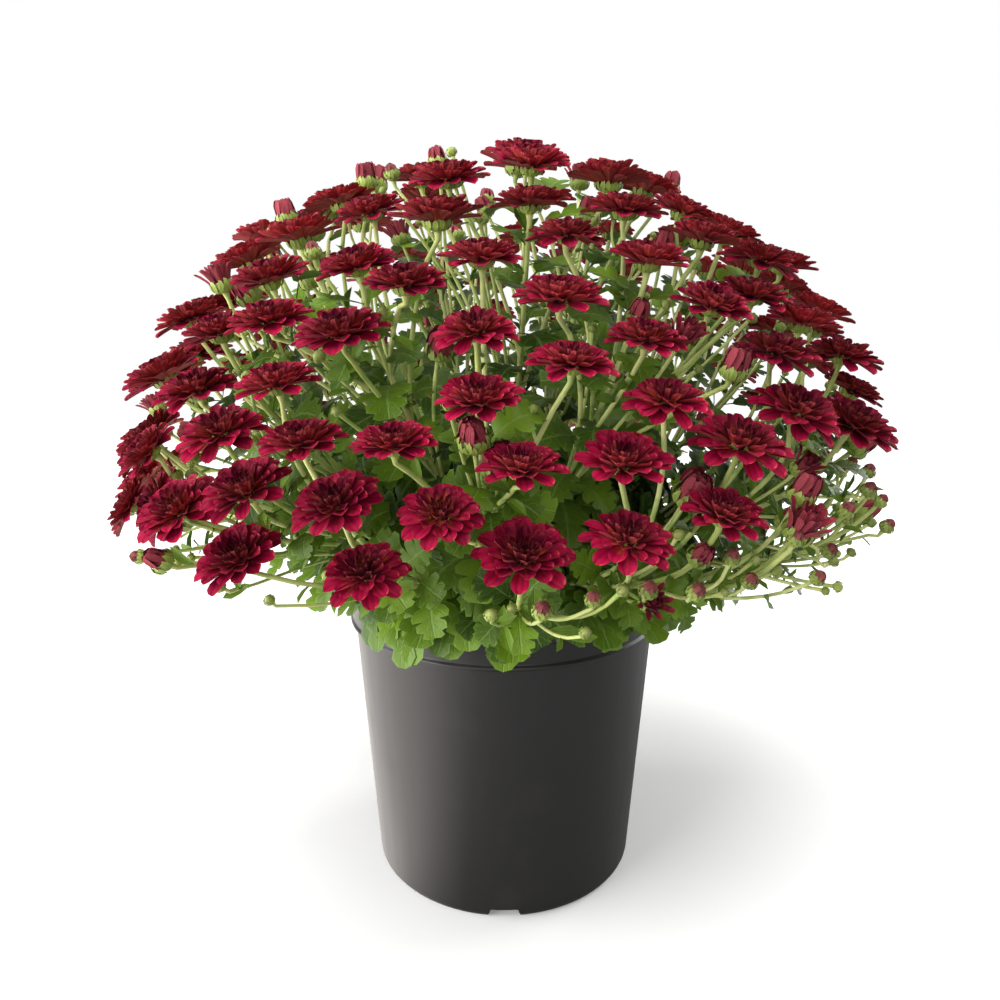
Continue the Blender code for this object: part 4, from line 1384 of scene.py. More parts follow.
def grow_side_bud(path):
    """A small bud on a bent stalk of its own, unless it would be inside a head."""
    foot, ahead = joint_on(path, 6, 3)
    out = sideways(ahead, rng.uniform(0, FULL_TURN))
    length = rng.uniform(*SIDE_STALK_LENGTHS)
    tip = foot + ahead * length * 0.85 + out * length * 0.55
    bend = foot + ahead * length * 0.25 + out * length * 0.40
    tone = rng.uniform(0, 1)
    if meets_head([tip]):
        return False
    curve = bent(foot, bend, tip)
    lines.append(([curve(s) for s in (0, 0.2, 0.4, 0.6, 0.8, 1)], SIDE_STALK_RADII, tone))
    turn = spun((tip - bend).normalized(), rng.uniform(0, FULL_TURN))
    side_buds.append((tip, turn, rng.uniform(*SIDE_BUD_SIZES), 0))
    return True


for head in heads:
    budding = head["kind"] in (OPEN, HALF) and rng.uniform() < SIDE_BUD_SHARE
    if budding and not grow_side_bud(head["path"]):
        continue
    for _ in range(BRACTS_PER_STALK):
        place, ahead = joint_on(head["path"], 4, 2)
        out = sideways(ahead, rng.uniform(0, FULL_TURN))
        along = (ahead * rng.uniform(*BRACT_LEAN) + out).normalized()
        bracts.append((place, laid(along, ahead), rng.uniform(*BRACT_SIZES), 0))
print(len(side_buds), "side buds and", len(bracts), "bracts")

# %% [markdown]
# Late shoots stand between the stalks and end in a small half-open head or in a bud, a little under the
# blooms. Each starts from a main stem and strays towards one of its heads.

# %% Late shoots
SHOOTS_PER_STEM = 5
SHOOT_JOINTS = (0.25, 0.5)
SHOOT_ENDS = (0.84, 1.02)
SHOOT_STRAY = 0.03
SHOOT_LIMIT = 0.93
SHOOT_RADII = (0.00095, 0.00070, 0.0009)
SHOOT_BRACT_SIZES = (0.006, 0.012)
LATE_HEAD_SHARE = 0.52
LATE_HEAD_LIMIT = 0.86
LATE_HEAD_RADIUS = 0.0078
RIB_SIDES = 12
RIB_DEPTH = 0.07
late_heads = []
shares = [i / (STALK_ROWS - 1) for i in range(STALK_ROWS)]
for spray in sprays:
    its_heads = [spray["top"], *spray["sides"]]
    for _ in range(SHOOTS_PER_STEM):
        toward = its_heads[int(rng.integers(len(its_heads)))]["at"]
        at = spray["at"].lerp(toward, rng.uniform(0.2, 1.1))
        at += Vector((rng.normal(0, SHOOT_STRAY), rng.normal(0, SHOOT_STRAY)))
        at *= min(1.0, SHOOT_LIMIT / at.length)
        joint, end = rng.uniform(*SHOOT_JOINTS), rng.uniform(*SHOOT_ENDS)
        path = [flow_point(spray["at"].lerp(at, s), joint + (end - joint) * s) for s in shares]
        if meets_head(path[-3:]):
            continue
        lines.append((path, thickness_along(STALK_ROWS, *SHOOT_RADII), rng.uniform(0, 1)))
        axis = (path[-1] - path[-2]).normalized()
        turn = spun(axis, rng.uniform(0, FULL_TURN))
        if rng.uniform() < LATE_HEAD_SHARE and at.length < LATE_HEAD_LIMIT:
            late_heads.append((path[-1], turn, rng.uniform(0.8, 1.2) * LATE_HEAD_RADIUS, 0))
        else:
            side_buds.append((path[-1], turn, rng.uniform(*SIDE_BUD_SIZES), 0))
        blade_turn = laid((axis + axis.orthogonal()).normalized(), axis)
        bracts.append((path[-4], blade_turn, rng.uniform(*SHOOT_BRACT_SIZES), 0))
values = {"Sides": RIB_SIDES, "Rib Depth": RIB_DEPTH, "Material": stem_green}
finish_piece("stems", grow("stems", tubes, values, line_mesh("stem_lines", lines)), all_sprays)
print(len(late_heads), "late heads,", len(side_buds), "side buds and", len(bracts), "bracts")

# %% [markdown]
# Cups and petals are pieces of their own, because they have different finishes and a piece stays small that
# way. A half-open head takes one of three stages in turn, so that neighbours differ.

# %% Stand the cups, the half-open heads and the buds
HALF_SCALE = 0.80
BUD_SCALE = 0.84
cups = [place_head(h, h["scale"]) for h in by_kind[OPEN]]
half = [place_head(h, HALF_SCALE) for h in by_kind[HALF]] + late_heads
stages = [(*place[:3], i % len(half_petals)) for i, place in enumerate(half)]
coloured = [place_head(h, BUD_SCALE) for h in by_kind[COLOUR]]
buds = coloured + [place_head(h, BUD_SCALE) for h in by_kind[GREEN]]
HEAD_PIECES = (  # name, places, shapes, finish, seed
    ("cups", cups, [bloom_cup], cup_green, 50),
    ("half_cups", half, [half_cup], cup_green, 55),
    ("buds", buds, [bud_scales], cup_green, 51),
    ("small_buds", side_buds, [small_bud], cup_green, 56),
    ("bud_petals", coloured, [bud_cap], bud_mauve, 52),
    ("half_open_petals", stages, half_petals, half_open_red, 53),
)
for piece in HEAD_PIECES:
    stand_piece(*piece)

# %% [markdown]
# A chrysanthemum leaf is cut into rounded lobes with forward teeth. It is folded a little along its middle
# vein, arches out from the stem and hangs at the tip. One outline serves for all leaves: each is bent along
# its own curve, with its own width and wave, because repeating one bent leaf would show at once.

# %% Leaf shape
LEAF_ROWS = (
    (0.00, 0.020, 0.00), (0.12, 0.030, 0.00), (0.24, 0.045, 0.00), (0.30, 0.26, -0.02), (0.36, 0.40, 0.02),
    (0.42, 0.37, 0.05), (0.47, 0.17, 0.02), (0.53, 0.42, 0.02), (0.60, 0.56, 0.05), (0.66, 0.52, 0.08),
    (0.70, 0.23, 0.03), (0.76, 0.43, 0.03), (0.82, 0.42, 0.07), (0.86, 0.25, 0.05), (0.91, 0.31, 0.07),
    (0.97, 0.18, 0.04),
)
LEAF_THICKNESS = 0.00035
LEAF_FOLD = 0.28
EDGE_CURL = 0.10
RIPPLE = 0.05
LOBE_LEAD = 1.6
NEAR_BY = 0.03
LEAF_SHARP = 60


def leaf_shape(path, across, width, wave):
    """The points and the map of one leaf along a path, its lobes spread along the across direction."""
    points, maps = [], []
    for share, half, lead in LEAF_ROWS:
        here = path(share)
        ahead = (path(min(1.0, share + NEAR_BY)) - path(max(0.0, share - NEAR_BY))).normalized()
        side = (across - ahead * across.dot(ahead)).normalized()
        up = side.cross(ahead)
        for u in FACE_COLUMNS:
            reach = half * width * u
            fold = abs(reach) * LEAF_FOLD - EDGE_CURL * width * half * (abs(u) == 1.0)
            ripple = RIPPLE * width * half * math.sin(wave + share * 17.0 + u * 2.5) * abs(u)
            forward = ahead * (lead * width * abs(u) * LOBE_LEAD)
            points.append(here + side * reach + up * (fold + ripple) + forward)
            maps.append((u / 2 + 0.5, share))
        points.append(here - up * LEAF_THICKNESS)
        maps.append((0.5, share))
    return [*points, path(1.0)], [*maps, (0.5, 1.0)]


def leaves_mesh(name, leaves, material):
    """Many leaves as one mesh, each with its own tone."""
    points, maps, faces, tones = [], [], [], []
    for *shape, tone in leaves:
        own_points, own_maps = leaf_shape(*shape)
        faces += blade_faces(len(LEAF_ROWS), first=len(points))
        points += own_points
        maps += own_maps
        tones += [tone] * len(own_points)
    mesh = mesh_of(name, points, faces, sharp=LEAF_SHARP)
    paint_map(mesh, maps, len(own_points))
    write_values(mesh, "leaf_tone_and_shade", "FLOAT", tones)
    mesh.materials.append(material)
    return mesh


print("leaf outline:", len(LEAF_ROWS), "rows, widest share", max(half for _, half, _ in LEAF_ROWS))

# %% [markdown]
# Leaves differ from nearly black green to a fresh green: those deep inside the plant are painted darker,
# as painted shade, and each also differs at random. Each has a paler edge, a main vein and slanting side
# veins, which are painted and slightly sunk. The back is duller. All of it follows the leaf's own map, the
# same one that the petals have.

# %% Leaf finish
LEAF_DARK = (0.024, 0.062, 0.004)
LEAF_FRESH = (0.160, 0.280, 0.011)
LEAF_EDGE = (0.17, 0.31, 0.05)
LEAF_VEIN = (0.20, 0.33, 0.08)
LEAF_BACK = (0.14, 0.23, 0.09)
SIDE_VEIN_PACE = 52.0
SIDE_VEIN_SLANT = 9.0
leaf_green, tree, shader = new_finish("leaf_green", 0.45, 0.28)
blade = group(tree, petal_map, Ribs=1.0)
noise = group(tree, mottle, Coarse_Scale=70.0, Fine_Scale=650.0)
# The dark end of the tone is also painted shade for leaves deep in the plant.
colour = colour_mix(tree, attribute(tree, "leaf_tone_and_shade"), LEAF_DARK, LEAF_FRESH)
colour = colour_mix(tree, times(tree, ramp(tree, blade["Edge"], 0.75, 1.0), 0.35), colour, LEAF_EDGE)
vein = minus(tree, 1.0, ramp(tree, blade["Edge"], 0.02, 0.12))
slanted = times(tree, blade["Edge"], SIDE_VEIN_SLANT)
side_wave = calc(tree, "SINE", minus(tree, times(tree, blade["Along"], SIDE_VEIN_PACE), slanted))
veins = calc(tree, "MAXIMUM", vein, times(tree, ramp(tree, side_wave, 0.90, 1.0), 0.6))
colour = colour_mix(tree, times(tree, veins, 0.5), colour, LEAF_VEIN)
colour = colour_mix(tree, times(tree, blade["Back"], 0.5), colour, LEAF_BACK)
tree.links.new(shade(tree, colour, noise["Coarse"], 0.35), shader.inputs["Base Color"])
mottled(tree, noise, 0.34, 0.56, shader)
bump(tree, minus(tree, times(tree, noise["Fine"], 0.5), times(tree, veins, 0.7)), 0.6, 0.0005, shader)
print("finish:", leaf_green.name)

# %% [markdown]
# Leaves grow from the stems at the golden angle too. They get smaller and lighter upwards, because the low
# ones deep in the plant are painted darker, as painted shade. The outer stems also carry large leaves that
# hang over the rim of the pot, as in the photograph, and each of these follows a path that clears it.

# %% Leaves on the stems
LEAVES_PER_STEM = {"inner": 50, "outer": 24}
LEAF_SHARES = {"inner": (0.06, 0.92), "outer": (0.04, 0.72)}
LEAF_LENGTHS = (0.044, 0.035)
LEAF_WIDTH_SHARE = 0.58
LEAF_TONE = 0.20
DEPTH_SHADE_RISE = 0.35
TONE_SCATTER = 0.24
RIM_CLEAR_RADIUS = 0.0870
RIM_CLEAR_HEIGHT = 0.1650
INSIDE_RADIUS = 0.074
ABOVE_MIX = 0.1535
WALL_RADII = (0.0780, 0.0868)
WALL_TOP = 0.1640
BOX_ROOM = 0.003


def clear_of_rim(point):
    """A point moved out of the pot's wall, if it would be in it, or up out of the potting mix."""
    flat = Vector((point.x, point.y, 0.0))
    if point.z > RIM_CLEAR_HEIGHT or flat.length > RIM_CLEAR_RADIUS:
        return point
    if flat.length > INSIDE_RADIUS:
        return flat.normalized() * RIM_CLEAR_RADIUS + UP * point.z
    return Vector((point.x, point.y, max(point.z, ABOVE_MIX)))


def in_box(point):
    """A point drawn back into the box of the CAD model, with a little room to spare."""
    low, high = cad_box
    return Vector([min(max(point[i], low[i] + BOX_ROOM), high[i] - BOX_ROOM) for i in range(3)])


def meets_rim(curve):
    """Whether a leaf's path cuts through the wall of the pot."""
    path = [curve(i / 10) for i in range(2, 11)]
    return any(p.z < WALL_TOP and WALL_RADII[0] < math.hypot(p.x, p.y) < WALL_RADII[1] for p in path)


def stem_leaf(spray, share, along, turn):
    """The path of a leaf from its stem out, with its length and the direction across it."""
    far = spray["at"].length
    length = (LEAF_LENGTHS[0] + (LEAF_LENGTHS[1] - LEAF_LENGTHS[0]) * share) * rng.uniform(0.8, 1.15)
    length *= 1.0 - 0.5 * far * share
    start = flow_point(spray["at"], along)
    ahead = (flow_point(spray["at"], along + 0.02) - start).normalized()
    out = (sideways(ahead, turn) + outward(azimuth_of(spray["at"])) * 0.35 * far).normalized()
    crown = start + out * length * 0.42 + ahead * length * rng.uniform(0.22, 0.5)
    tip = start + out * length * rng.uniform(0.72, 0.9) + ahead * length * rng.uniform(0.0, 0.45)
    tip -= UP * length * rng.uniform(0.1, 0.35) * (1.2 - share)
    curve = bent(start, in_box(clear_of_rim(crown)), in_box(clear_of_rim(tip)))
    return curve, length, ahead.cross(out).normalized()


leaves = []
for number, spray in enumerate(sprays):
    ring = "outer" if spray["at"].length > OUTER_SPRAYS_FROM else "inner"
    low, high = LEAF_SHARES[ring]
    for i in range(LEAVES_PER_STEM[ring]):
        share = i / (LEAVES_PER_STEM[ring] - 1)
        turn = number + i * GOLDEN_ANGLE
        curve, length, across = stem_leaf(spray, share, low + (high - low) * share, turn)
        if meets_head([curve(0.6), curve(0.8), curve(1.0)]) or meets_rim(curve):
            continue
        # Leaves low on the stem, deep in the plant, are painted darker as painted shade, with a random
        # scatter.
        tone = float(np.clip(rng.normal(LEAF_TONE + DEPTH_SHADE_RISE * share, TONE_SCATTER), 0, 1))
        leaves.append((curve, -across, length * LEAF_WIDTH_SHARE, rng.uniform(0, 6), tone))
print(len(leaves), "leaves on the stems")

# %% [markdown]
# A ring of leaves hangs over the rim. It has gaps where the photograph shows the bare band of the pot, and
# longer leaves where they reach further down. Each path goes up over the rim first and then down outside
# it. The bracts are small plain blades with one tone.

# %% Leaves over the rim
RIM_LEAVES = 84
BARE_RIM = ((-82, -52), (14, 36), (54, 82))
LOW_LEAVES = ((-48, -26), (-22, 6), (38, 52), (95, 120), (160, 185), (235, 262))
LOW_DROP = (0.145, 0.157)
HIGH_DROP = (0.163, 0.178)
RIM_LEAF_WIDTHS = (0.017, 0.024)
SPRAY_LEAF_WIDTH = 0.024
BRACT_TONE = 0.6
BRACT_ROWS = ((0.0, 0.25), (0.35, 0.85), (0.7, 1.0))
for i in range(RIM_LEAVES):
    azimuth = i * 360 / RIM_LEAVES - 180 + rng.uniform(-4, 4)
    if any(a < azimuth < b for a, b in BARE_RIM):
        continue
    low = any(a < azimuth < b or a < azimuth + 360 < b for a, b in LOW_LEAVES)
    level = outward(azimuth)
    across = UP.cross(level)
    root = level * rng.uniform(0.036, 0.052) + UP * rng.uniform(0.154, 0.172)
    lift = rng.uniform(0.0, 0.014) + 0.012 * (not low)
    reach = rng.uniform(0.0, 0.014)
    crown = level * (0.084 + reach) + UP * (0.180 + lift) + across * rng.uniform(-0.008, 0.008)
    drop = rng.uniform(*(LOW_DROP if low else HIGH_DROP))
    tip = level * (0.094 + reach) + UP * drop + across * rng.uniform(-0.012, 0.012)
    width = rng.uniform(*RIM_LEAF_WIDTHS)
    leaves.append((bent(root, crown, tip), -across, width, rng.uniform(0, 6), float(rng.uniform(0.2, 0.9))))
for spray in (s for s in sprays if "leaf_way" in s):
    level = outward(spray["leaf_way"])
    start = flow_point(spray["at"], 0.34)
    path = bent(start, start + level * 0.024 + UP * 0.003, start + level * 0.044 - UP * 0.016)
    wave, tone = rng.uniform(0, 6), float(rng.uniform(0.4, 0.9))
    leaves.append((path, -UP.cross(level), SPRAY_LEAF_WIDTH, wave, tone))
middle = len(leaves) // 2
finish_piece("leaves_low", leaves_mesh("leaves_low", leaves[middle:], leaf_green), all_sprays)
finish_piece("leaves_high", leaves_mesh("leaves_high", leaves[:middle], leaf_green), all_sprays)
bract = blade_mesh("bract", BRACT_ROWS, 0.19, 0.4, -25)
write_values(bract, "leaf_tone_and_shade", "FLOAT", [BRACT_TONE] * len(bract.vertices))
stand_piece("bracts", bracts, [bract], leaf_green, 54)

# %% [markdown]
# The pot is blow moulded: one thin wall of black plastic with a stiff band round its rim, a raised bead
# under the band, and a recessed floor with drain holes. Its section is drawn once, as corners with their
# roundings, and turned about the axis, because every line on it runs round.

# %% Pot section
POT_TURNS = 144
POT_SECTION = (  # radius, height, size of the rounding
    (0.0818, 0.1584, 0.0003), (0.0820, 0.1600, 0.0006), (0.0836, 0.1600, 0.0007), (0.0840, 0.1588, 0.0006),
    (0.0840, 0.1530, 0.0006), (0.0826, 0.1520, 0.0005), (0.0824, 0.1512, 0.0004), (0.0823, 0.1424, 0.0004),
    (0.0834, 0.1411, 0.0004), (0.0834, 0.1401, 0.0005), (0.0807, 0.1388, 0.0008), (0.0713, 0.0024, 0.0014),
    (0.0693, 0.0000, 0.0009), (0.0655, 0.0000, 0.0006), (0.0640, 0.0035, 0.0008), (0.0, 0.0035, 0.0),
    (0.0, 0.0050, 0.0), (0.0672, 0.0050, 0.0020), (0.0708, 0.0085, 0.0020), (0.0793, 0.1388, 0.0010),
    (0.0809, 0.1416, 0.0010),
)
ROUND_STEPS = 3


def rounded_section(corners):
    """The corners of a section with each one rounded by a small curve."""
    out = []
    count = len(corners)
    for i, (radius, height, rounding) in enumerate(corners):
        here = Vector((radius, height))
        if rounding == 0.0:
            out.append(here)
            continue
        sides = [Vector(corners[(i + k) % count][:2]) - here for k in (-1, 1)]
        start, end = (here + side.normalized() * min(rounding, side.length / 2) for side in sides)
        curve = bent(start, here, end)
        out += [curve(k / ROUND_STEPS) for k in range(ROUND_STEPS + 1)]
    return out


pot_mesh = turned("pot_shell", rounded_section(POT_SECTION), POT_TURNS, closed=True)
print("pot wall:", triangles(pot_mesh), "triangles before cutting")

# %% [markdown]
# The slots in the foot are cut by solids, because their sides are straight, not turned. Each cutter has the
# slot's outline, wider at the foot, and reaches through the foot ring. Round pegs cut the drain holes.

# %% Cut the slots in the foot and the drain holes
SLOTS = 3
SLOT_HEIGHT = 0.0050
SLOT_HALF_TOP = 0.0073
SLOT_HALF_FOOT = 0.0086
SLOT_REACH = (0.058, 0.076)
SLOT_ROUNDING = 0.0010
SLOT_ROUND_STEP = 22.5
BELOW_FOOT = -0.002
FLARE_BELOW = 0.0004
DRAINS = 4
DRAIN_RADIUS = 0.0050
DRAIN_CIRCLE = 0.0360
DRAIN_MIDDLE = 0.004
DRAIN_DEPTH = 0.02
DRAIN_SIDES = 32
POT_SHARP = 38


def slot_outline():
    """A slot with slanted sides and rounded upper corners, as (across, up) points."""
    wide = SLOT_HALF_FOOT + FLARE_BELOW
    outline = [(-wide, BELOW_FOOT), (wide, BELOW_FOOT)]
    for side, first in ((1, 0.0), (-1, 90.0)):
        for a in (math.radians(first + SLOT_ROUND_STEP * step) for step in range(5)):
            across = side * (SLOT_HALF_TOP - SLOT_ROUNDING) + SLOT_ROUNDING * math.cos(a)
            outline.append((across, SLOT_HEIGHT - SLOT_ROUNDING + SLOT_ROUNDING * math.sin(a)))
    return outline


def slot_cutter(turn):
    """A solid with the outline of a slot, turned to its place round the foot."""
    bm = bmesh.new()
    near, far = ([bm.verts.new((reach, *point)) for point in slot_outline()] for reach in SLOT_REACH)
    bm.faces.new(near)
    bm.faces.new(far[::-1])
    for i in range(len(near)):
        j = (i + 1) % len(near)
        bm.faces.new((near[i], near[j], far[j], far[i]))
    bmesh.ops.recalc_face_normals(bm, faces=bm.faces)
    bmesh.ops.rotate(bm, verts=bm.verts, matrix=Matrix.Rotation(turn, 3, "Z"))
    return mesh_from(bm, "slot_cutter")


def drain_cutter(turn):
    """A round peg at its place on the circle of drain holes."""
    bm = bmesh.new()
    radii = {"radius1": DRAIN_RADIUS, "radius2": DRAIN_RADIUS}
    bmesh.ops.create_cone(bm, cap_ends=True, segments=DRAIN_SIDES, depth=DRAIN_DEPTH, **radii)
    place = (DRAIN_CIRCLE * math.cos(turn), DRAIN_CIRCLE * math.sin(turn), DRAIN_MIDDLE)
    bmesh.ops.translate(bm, verts=bm.verts, vec=place)
    return mesh_from(bm, "drain_cutter")


slots = [slot_cutter(-math.pi / 2 + 2 * math.pi * i / SLOTS) for i in range(SLOTS)]
drains = [drain_cutter(2 * math.pi * (i + 0.5) / DRAINS) for i in range(DRAINS)]
cutters = kit("cutter", slots + drains)
pot = new_object("pot_before_cutting", pot_mesh)
boolean = pot.modifiers.new("cut", "BOOLEAN")
boolean.operand_type = "COLLECTION"
boolean.collection = cutters
boolean.operation = "DIFFERENCE"
cut_mesh = plain_copy(pot)
bpy.data.objects.remove(pot)
retire(cutters)
cut_mesh.shade_smooth()
cut_mesh.set_sharp_from_angle(angle=math.radians(POT_SHARP))
print("pot wall:", triangles(cut_mesh), "triangles after cutting")

# %% [markdown]
# Black nursery plastic is not black in a photograph. It is a satin surface: a broad soft reflection of the
# left panel and of the painted pool of light on the floor on that side, a nearly black middle, and a pale
# edge where it turns away. The moulding leaves very faint vertical streaks and a grain, which break the
# reflection up, and handling leaves a little dust.

# %% Pot finish
PLASTIC_BLACK = (0.0110, 0.0102, 0.0100)
DUST = (0.026, 0.023, 0.021)
STREAK_STRETCH = (1.0, 1.0, 0.06)
pot_black, tree, shader = new_finish("pot_black_plastic", 0.42, 0.5)
place = add(tree, "ShaderNodeTexCoord").outputs["Object"]
stretched = add(tree, "ShaderNodeMapping", {0: place, "Scale": STREAK_STRETCH}).outputs[0]
inputs = {"Vector": stretched, "Scale": 120.0, "Detail": 3.0}
streaks = add(tree, "ShaderNodeTexNoise", inputs).outputs[0]
noise = group(tree, mottle, Coarse_Scale=45.0, Fine_Scale=2600.0)
dust = ramp(tree, noise["Coarse"], 0.55, 0.80)
dusty = colour_mix(tree, times(tree, dust, 0.35), PLASTIC_BLACK, DUST)
tree.links.new(shade(tree, dusty, streaks, 0.15), shader.inputs["Base Color"])
rough = plus(tree, between(tree, streaks, 0.33, 0.47), times(tree, dust, 0.06))
tree.links.new(rough, shader.inputs["Roughness"])
relief = plus(tree, times(tree, streaks, 0.5), times(tree, noise["Fine"], 0.12))
bump(tree, relief, 0.12, 0.0004, shader)
cut_mesh.materials.clear()
cut_mesh.materials.append(pot_black)
finish_piece("pot_shell", cut_mesh, ["pot"])

# %% [markdown]
# The potting mix is peat and bark. From above it shows between the stems, so it gets a real surface: a low
# mound with lumps, and a few hundred crumbs of four shapes stood on it by the copies tree.

# %% Potting mix
MIX_EDGE = 0.0795
MIX_EDGE_HEIGHT = 0.1470
MIX_MOUND = 0.0025
MIX_GAP = 0.0012
MIX_FOOT = ((0.0, 0.0056), (0.0640, 0.0056), (0.0702, 0.0120))
MIX_RINGS = 44
MIX_TURNS = 112
MIX_SHARP = 50
PEAT = (0.014, 0.009, 0.006)
BARK = (0.070, 0.042, 0.024)
PALE_CRUMB = (0.16, 0.10, 0.055)
mix_brown, tree, shader = new_finish("mix_brown", 0.9, 0.2)
noise = group(tree, mottle, Coarse_Scale=350.0, Fine_Scale=1800.0)
colour = colour_mix(tree, ramp(tree, noise["Coarse"], 0.35, 0.70), PEAT, BARK)
pale = times(tree, ramp(tree, attribute(tree, "head_tone"), 0.75, 1.0), 0.8)
colour = colour_mix(tree, pale, colour, PALE_CRUMB)
tree.links.new(shade(tree, colour, noise["Fine"], 0.3), shader.inputs["Base Color"])
tree.links.new(between(tree, noise["Fine"], 0.80, 1.0), shader.inputs["Roughness"])
bump(tree, noise["Fine"], 0.7, 0.0006, shader)


def mix_height(x, y):
    """The height of the mix's surface, with its mound and lumps."""
    share = min(1.0, math.hypot(x, y) / MIX_EDGE)
    lumps = 0.0006 * math.sin(x * 310 + 1.3) * math.sin(y * 270 + 0.4) + 0.0004 * math.sin(x * 730 + y * 540)
    return MIX_EDGE_HEIGHT + MIX_MOUND * (1 - share**4) + lumps * (1 - share**8)


def mix_mesh():
    """A closed body from the bottom up: its sides inside the pot, then the lumpy surface to its middle."""
    rings = [circle(radius, height, MIX_TURNS) for radius, height in MIX_FOOT]
    for i in range(MIX_RINGS, -1, -1):
        level = circle((MIX_EDGE - MIX_GAP) * i / MIX_RINGS, 0.0, MIX_TURNS)
        rings.append([(x, y, mix_height(x, y)) for x, y, _ in level])
    mesh = skinned("mix_surface", rings)
    mesh.set_sharp_from_angle(angle=math.radians(MIX_SHARP))
    mesh.materials.append(mix_brown)
    return mesh


finish_piece("mix_surface", mix_mesh(), ["potting_mix"])

# %% [markdown]
# The crumbs are rough twenty-sided lumps, from round grains to flat chips of bark. Most are small. They lie
# a little tilted on the surface and are a little sunk into it.

# %% Crumbs
CRUMBS = 1500
CRUMB_ZONE = 0.0765
CRUMB_SIZES = (0.0006, 0.0009, 0.0014, 0.0021)
CRUMB_SHARES = (0.4, 0.32, 0.2, 0.08)
CRUMB_SHAPES = ((0.8, 0.6), (0.5, 0.3), (0.9, 0.8), (0.3, 0.25))
CRUMB_TILT = 0.35
CRUMB_LIFT = 0.15


def crumb_mesh(name, seed, squash):
    """One crumb: a rough lump, flattened across and in height."""
    local = np.random.default_rng(seed)
    bm = bmesh.new()
    bmesh.ops.create_icosphere(bm, subdivisions=1, radius=1.0)
    for v in bm.verts:
        v.co *= local.uniform(0.7, 1.15)
        v.co = Vector((v.co.x, v.co.y * squash[0], v.co.z * squash[1]))
    return mesh_from(bm, name)


places = []
for _ in range(CRUMBS):
    radius, angle = CRUMB_ZONE * math.sqrt(rng.uniform(0, 1)), rng.uniform(0, 2 * math.pi)
    x, y = radius * math.cos(angle), radius * math.sin(angle)
    tilt = Vector((rng.normal(0, CRUMB_TILT), rng.normal(0, CRUMB_TILT), 1.0)).normalized()
    size = float(rng.choice(CRUMB_SIZES, p=CRUMB_SHARES))
    place = Vector((x, y, mix_height(x, y) + size * CRUMB_LIFT))
    turn = spun(tilt, rng.uniform(0, FULL_TURN))
    places.append((place, turn, size, int(rng.integers(0, len(CRUMB_SHAPES)))))
crumbs = [crumb_mesh(f"crumb_{i}", i + 1, squash) for i, squash in enumerate(CRUMB_SHAPES)]
stand_piece("mix_crumbs", places, crumbs, mix_brown, 60, "potting_mix", ["potting_mix"])

# %% [markdown]
# The photograph was taken in a bright tent, so nearly all the light is soft: a large panel on the left, a
# smaller one on the right, one above, and a weak fill from the front. The panels, with the painted pool of
# light on the floor, also draw the long pale streaks on the glossy pot, which say black plastic more
# clearly than its colour does.

# %% Lights
MIDDLE = Vector((0.0, 0.0, 0.2))
PANELS = {  # place, width, height, power
    "left_panel": ((-1.16, -0.48, 0.45), 1.5, 1.0, 30.0),
    "right_panel": ((1.1, 0.55, 0.50), 0.7, 0.9, 9.0),
    "top_panel": ((-0.1, -0.25, 1.35), 1.1, 1.1, 17.0),
    "front_fill": ((0.1, -1.6, 0.75), 0.8, 0.6, 6.0),
}
for name, (place, width, height, power) in PANELS.items():
    panel = bpy.data.lights.new(name, "AREA")
    panel.shape = "RECTANGLE"
    panel.size = width
    panel.size_y = height
    panel.energy = power
    lamp = new_object(name, panel)
    lamp.location = place
    lamp.rotation_euler = (MIDDLE - Vector(place)).to_track_quat("-Z", "Y").to_euler()
print(len(PANELS), "soft panels")

# %% [markdown]
# The floor is plain and pale. To the lens it has a painted glow that grows with distance, so that it melts
# into the background without a line. To the plant it is a grey floor with a painted pool of warm light on
# it, strongest on the lit side, which the pot reflects.

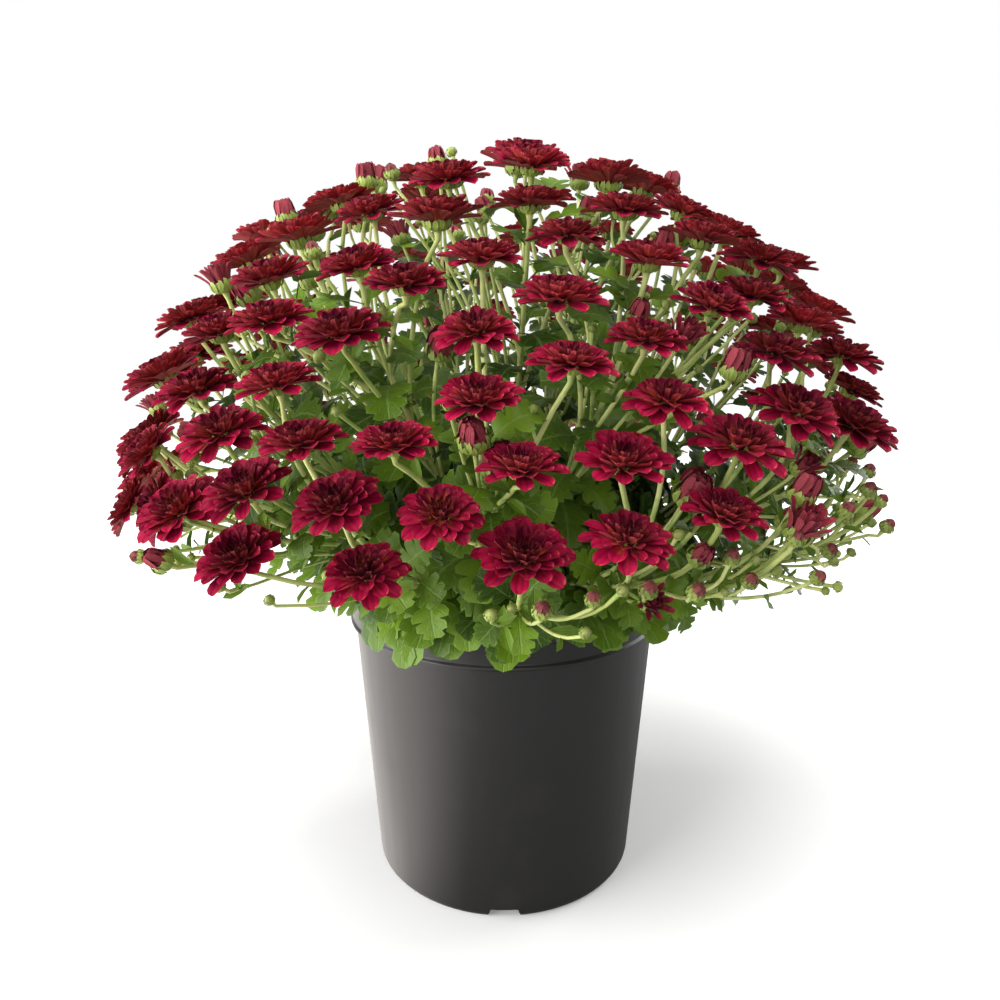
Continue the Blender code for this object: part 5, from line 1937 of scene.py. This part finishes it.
# %% Floor and background
FLOOR_SIZE = 6.0
FLOOR_WHITE = (0.90, 0.90, 0.90)
FLOOR_GREY = (0.30, 0.30, 0.30)
PAINTED_POOL_WARM = (1.0, 0.93, 0.88)
LIT_SIDE_TURN = 0.45
CORNERS = ((-1, -1), (1, -1), (1, 1), (-1, 1))
floor_mesh = mesh_of("floor", [(x * FLOOR_SIZE, y * FLOOR_SIZE, 0) for x, y in CORNERS], [(0, 1, 2, 3)])
floor = new_object("floor", floor_mesh)
floor_white, tree, shader = new_finish("floor_white", 0.6, 0.2)
place = add(tree, "ShaderNodeTexCoord").outputs["Object"]
away = add(tree, "ShaderNodeVectorMath", {0: place}, operation="LENGTH").outputs["Value"]
mottled(tree, group(tree, mottle, Coarse_Scale=2.0, Fine_Scale=30.0), 0.55, 0.65, shader)
seen = add(tree, "ShaderNodeLightPath").outputs["Is Camera Ray"]
direction = add(tree, "ShaderNodeVectorMath", {0: place}, operation="NORMALIZE").outputs[0]
parts = add(tree, "ShaderNodeSeparateXYZ", {0: direction}).outputs
# A painted pool of warm light on the floor, strongest on the lit side. The plant and the pot see it, and the
# lens does not.
painted_pool_mask = ramp(tree, minus(tree, times(tree, parts[1], LIT_SIDE_TURN), parts[0]), -0.20, 0.80)
tree.links.new(colour_mix(tree, seen, FLOOR_GREY, FLOOR_WHITE), shader.inputs["Base Color"])
# A painted glow that only the lens sees, growing with distance.
white = between(tree, ramp(tree, away, 0.15, 1.2), 0.12, 0.75)
painted_pool_glow = between(tree, painted_pool_mask, 0.05, 1.8)
glow = grey(tree, between(tree, seen, painted_pool_glow, white))
warm = colour_mix(tree, 1.0, glow, PAINTED_POOL_WARM, "MULTIPLY")
tree.links.new(colour_mix(tree, seen, warm, glow), shader.inputs["Emission Color"])
shader.inputs["Emission Strength"].default_value = 1.0
floor_mesh.materials.append(floor_white)

world = bpy.data.worlds.new("white_tent")
bpy.context.scene.world = world
world.use_nodes = True
tree = world.node_tree
tree.nodes["Background"].inputs["Color"].default_value = (1.0, 1.0, 1.0, 1.0)
seen = add(tree, "ShaderNodeLightPath").outputs["Is Camera Ray"]
tree.links.new(between(tree, seen, 0.34, 1.0), tree.nodes["Background"].inputs["Strength"])
bpy.context.scene.view_settings.view_transform = "Standard"
print("floor and background ready")
